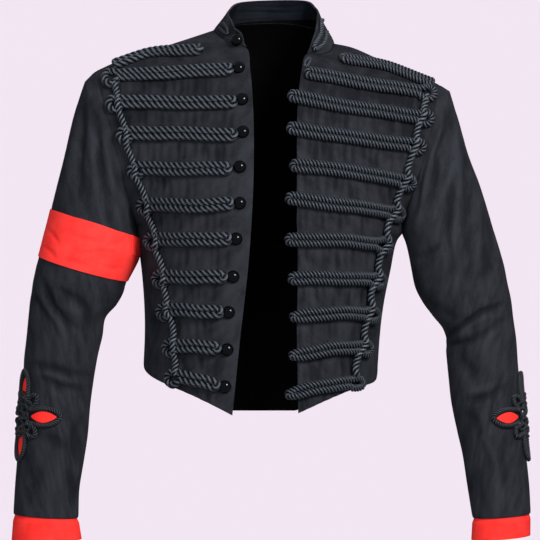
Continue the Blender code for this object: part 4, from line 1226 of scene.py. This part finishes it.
def collarPlace(station, height, lift):
    point = collarPoint(station, height)
    by = collarPoint(station + probe, height) - collarPoint(station - probe, height)
    up = collarPoint(station, height + probe) - collarPoint(station, height - probe)
    outward = -unit(np.cross(by, up))
    if outward[0] * (point[0] - collar["middleX"]) + outward[1] * point[1] < 0:
        outward = -outward
    return np.concatenate([point + outward * lift, outward])


for side, steps in collarCords.items():
    thick = cord["collarRadius"][side]
    makeCord(f"rope_collar_{side}", [collarPlace(s, h, thick) for s, h in steps], thick,
             cord["collarLay"], [f"collar_cord_{side}"], look=cord["collarLook"][side])


buttons = {
    "segments": 40, "rings": 28,
    "radius": 8.8,
    "height": 7.4,
    "lift": 0.15,
    "places": [(-39.5, -43), (-35, -86), (-34, -130), (-38, -177), (-38, -226), (-43, -274),
               (-47, -325), (-53, -373), (-55, -423), (-58, -473)],
    "collar": (-2.764, 0.29, 3.7),      # station, height, lift
}


def firstButton():
    radius = buttons["radius"] * toMetres
    height = buttons["height"] * toMetres
    bpy.ops.object.select_all(action="DESELECT")
    bpy.ops.mesh.primitive_uv_sphere_add(segments=buttons["segments"],
                                         ring_count=buttons["rings"], radius=radius)
    button = bpy.context.object
    bpy.ops.object.mode_set(mode="EDIT")
    bpy.ops.mesh.select_all(action="SELECT")
    bpy.ops.mesh.bisect(plane_co=(0, 0, 0), plane_no=(0, 0, 1), use_fill=True,
                        clear_inner=True)
    bpy.ops.mesh.select_all(action="SELECT")
    bpy.ops.transform.resize(value=(1, 1, height / radius), center_override=(0, 0, 0))
    bpy.ops.object.mode_set(mode="OBJECT")
    return button


master = firstButton()


def placeButton(name, place, node):
    point, outward = place[:3], place[3:]
    sideways = unit(np.cross([0.0, 0.0, 1.0], outward))
    upright = np.cross(outward, sideways)
    turn = np.stack([sideways, upright, outward], axis=1)
    mesh = master.data.copy()
    places = np.zeros(len(mesh.vertices) * 3)
    mesh.vertices.foreach_get("co", places)
    places = places.reshape(-1, 3) @ turn.T + point * toMetres
    mesh.vertices.foreach_set("co", places.ravel())
    thing = addObject(name, mesh, [looks["blackGloss"]])
    finishPiece(thing, [node], 60)


station, height, lift = buttons["collar"]
placeButton("dome_00", collarPlace(station, height, lift), "button_00")
for index, (x, z) in enumerate(buttons["places"], start=1):
    across, row = findOnFront("right", x, z, buttons["lift"])
    placeButton(f"dome_{index:02d}", liftedPlace("right", across, row, buttons["lift"]),
                f"button_{index:02d}")
bpy.data.objects.remove(master)
print("the buttons are made")


knot = {
    "turn": {"right": 25.0, "left": 9.0},
    "z": {"right": -510.5, "left": -512.0},
    "quarter": [(19, -9), (28, -10.5), (41.5, -11.2), (53.5, -7.5), (60, 0), (53.5, 7.5),
                (41.5, 11.2), (28, 10.5), (19, 9), (27, 18), (27, 27), (18, 27)],
    "leafStart": 18.5, "leafLengths": [36.5, 31.5, 36.5, 36.5], "leafHalf": 7.8, "leafTip": 0.8,
    # the tangle in the middle: steps round and up from the knot's middle, and each reach
    "innerLoops": [(9, 9, 5.5), (-9, 9, 5.5), (-9, -9, 5.5), (9, -9, 5.5), (0, 0, 6.0),
                   (5, 19, 5.0), (-5, 20, 5.0), (4, -19, 5.0), (-5, -20, 5.0), (0, 27, 4.0),
                   (0, -26, 4.0), (15, 15, 4.5), (15, -15, 4.5), (-14, 4, 4.5), (12, 0, 4.0)],
    "innerRadius": 1.9,
    "lay": 11.0, "innerLay": 8.0, "innerPoints": 10, "leafGrid": (15, 9),
    "lift": 3.2, "innerLift": 4.6, "leafLift": 1.8,
    "leafWall": 1.0,
}


def sleevePlace(side, around, up, lift):
    rings, depths = ringTables(side)
    heights = -(rings[:, 2] + rings[:, 4]) / 2
    ring = float(np.interp(-(knot["z"][side] + up), heights, rings[:, 0]))
    ends = readTable(rings, ring)
    depth = readTable(depths, ring)[1]
    radius = (math.hypot(ends[0] - ends[2], ends[1] - ends[3]) / 2 + depth) / 2
    turn = math.radians(knot["turn"][side]) + around / radius
    by = sleevePoint(side, ring + probe, turn) - sleevePoint(side, ring - probe, turn)
    on = sleevePoint(side, ring, turn + probe) - sleevePoint(side, ring, turn - probe)
    outward = unit(np.cross(by, on) * -sign[side])
    return np.concatenate([sleevePoint(side, ring, turn) + outward * lift, outward])


def quarterTurned(along, across, quarter):
    return [(along, across), (-across, along), (-along, -across), (across, -along)][quarter]


def makeKnot(side):
    steps = [quarterTurned(*step, quarter) for quarter in range(4) for step in knot["quarter"]]
    makeCord(f"rope_knot_{side}", [sleevePlace(side, *step, knot["lift"]) for step in steps],
             cord["knotRadius"], knot["lay"], [f"sleeve_knot_{side}"], closed=True,
             look="knotCord")
    for number, (along, across, reach) in enumerate(knot["innerLoops"]):
        thick = knot["innerRadius"]
        steps = [(along + reach * math.cos(a), across + reach * math.sin(a),
                  knot["innerLift"] + thick * math.sin(2 * a + number))
                 for a in allRound(knot["innerPoints"])]
        makeCord(f"rope_knot_{side}_loop_{number}",
                 [sleevePlace(side, *step) for step in steps], thick,
                 knot["innerLay"], [], closed=True, look="knotCord")
    count, wideCount = knot["leafGrid"]
    for quarter in range(4):
        shares = np.linspace(0, 1, count)
        half = knot["leafTip"] + (knot["leafHalf"] - knot["leafTip"]) * np.sin(math.pi * shares)
        grid = []
        for share, wide in zip(shares, half):
            along = knot["leafStart"] + knot["leafLengths"][quarter] * share
            grid.append([sleevePlace(side, *quarterTurned(along, across, quarter),
                                     knot["leafLift"])
                         for across in np.linspace(-wide, wide, wideCount)])
        grid = np.array(grid)
        makeCloth(f"leaf_{side}_{quarter + 1}", grid[..., :3], grid[..., 3:], knot["leafWall"],
                  "redCloth", "redCloth", [f"knot_leaf_{side}_{quarter + 1}"])


for side in sign:
    makeKnot(side)
print("the sleeve knots are made")


view = {
    "centre": (2.7, -50.0, -315.9), "width": 729.0, "distance": 20000.0,
    "sensor": 36.0,
    "clip": (1.0, 100.0),         # metres
}
studio = {
    "backdrop": (0.896, 0.791, 0.896), "glow": (0.26, 0.285, 0.32),
    "floorSize": 30, "floorHeight": -0.76,      # metres
}

bpy.ops.object.camera_add(
    location=[view["centre"][0] * toMetres, (view["centre"][1] - view["distance"]) * toMetres,
              view["centre"][2] * toMetres],
    rotation=(math.pi / 2, 0, 0))
camera = bpy.context.object
camera.data.sensor_width = view["sensor"]
camera.data.lens = view["sensor"] * view["distance"] / view["width"]
camera.data.clip_start, camera.data.clip_end = view["clip"]
bpy.context.scene.camera = camera


# the camera sees the colour itself, and everything else is lit by the studio's glow
def seenColour(tree, colour):
    sight = addNode(tree, "ShaderNodeLightPath")
    mix = addNode(tree, "ShaderNodeMix", data_type="RGBA")
    mix.inputs[6].default_value = (*studio["glow"], 1)
    mix.inputs[7].default_value = (*colour, 1)
    tree.links.new(sight.outputs["Is Camera Ray"], mix.inputs["Factor"])
    return mix.outputs[2]


bpy.ops.mesh.primitive_plane_add(size=studio["floorSize"],
                                 location=(0, 0, studio["floorHeight"]))
floor = bpy.context.object
floor.name = "floor"
bpy.ops.object.transform_apply(location=True, rotation=True, scale=True)
floorLook, tree, shader = newMaterial("paleFloor", {"Base Color": (0.0, 0.0, 0.0, 1),
                                                    "Roughness": 1.0, "Specular IOR Level": 0.0,
                                                    "Emission Strength": 1.0})
tree.links.new(seenColour(tree, studio["backdrop"]), shader.inputs["Emission Color"])
floor.data.materials.append(floorLook)

world = bpy.data.worlds.new("studio")
world.use_nodes = True
bpy.context.scene.world = world
ground = world.node_tree.nodes["Background"]
world.node_tree.links.new(seenColour(world.node_tree, studio["backdrop"]), ground.inputs["Color"])

lamps = {       # place, what it points at, size and power
    "key": ((1.7, -2.6, 1.3), (0, 0, -0.3), 1.1, 62),
    "glint": ((1.35, -2.7, 1.2), (0, 0, -0.3), 0.8, 60),
    "fill": ((-1.0, -3.2, 0.3), (0, 0, -0.3), 1.8, 52),
    "top": ((0.2, 0.2, 2.0), (0, 0, -0.2), 1.6, 20),
    "rear": ((0.5, 2.6, 1.0), (0, 0, -0.3), 1.8, 55),
}
for name, (place, target, size, power) in lamps.items():
    light = bpy.data.lights.new(name, "AREA")
    light.size = size
    light.energy = power
    lamp = bpy.data.objects.new(name, light)
    bpy.context.scene.collection.objects.link(lamp)
    lamp.location = place
    lamp.visible_glossy = name in ("key", "glint")
    away = np.array(place, float) - np.array(target, float)
    lamp.rotation_euler = (math.atan2(math.hypot(away[0], away[1]), away[2]), 0,
                           math.atan2(away[1], away[0]) + math.pi / 2)

bpy.context.scene.view_settings.view_transform = "Standard"
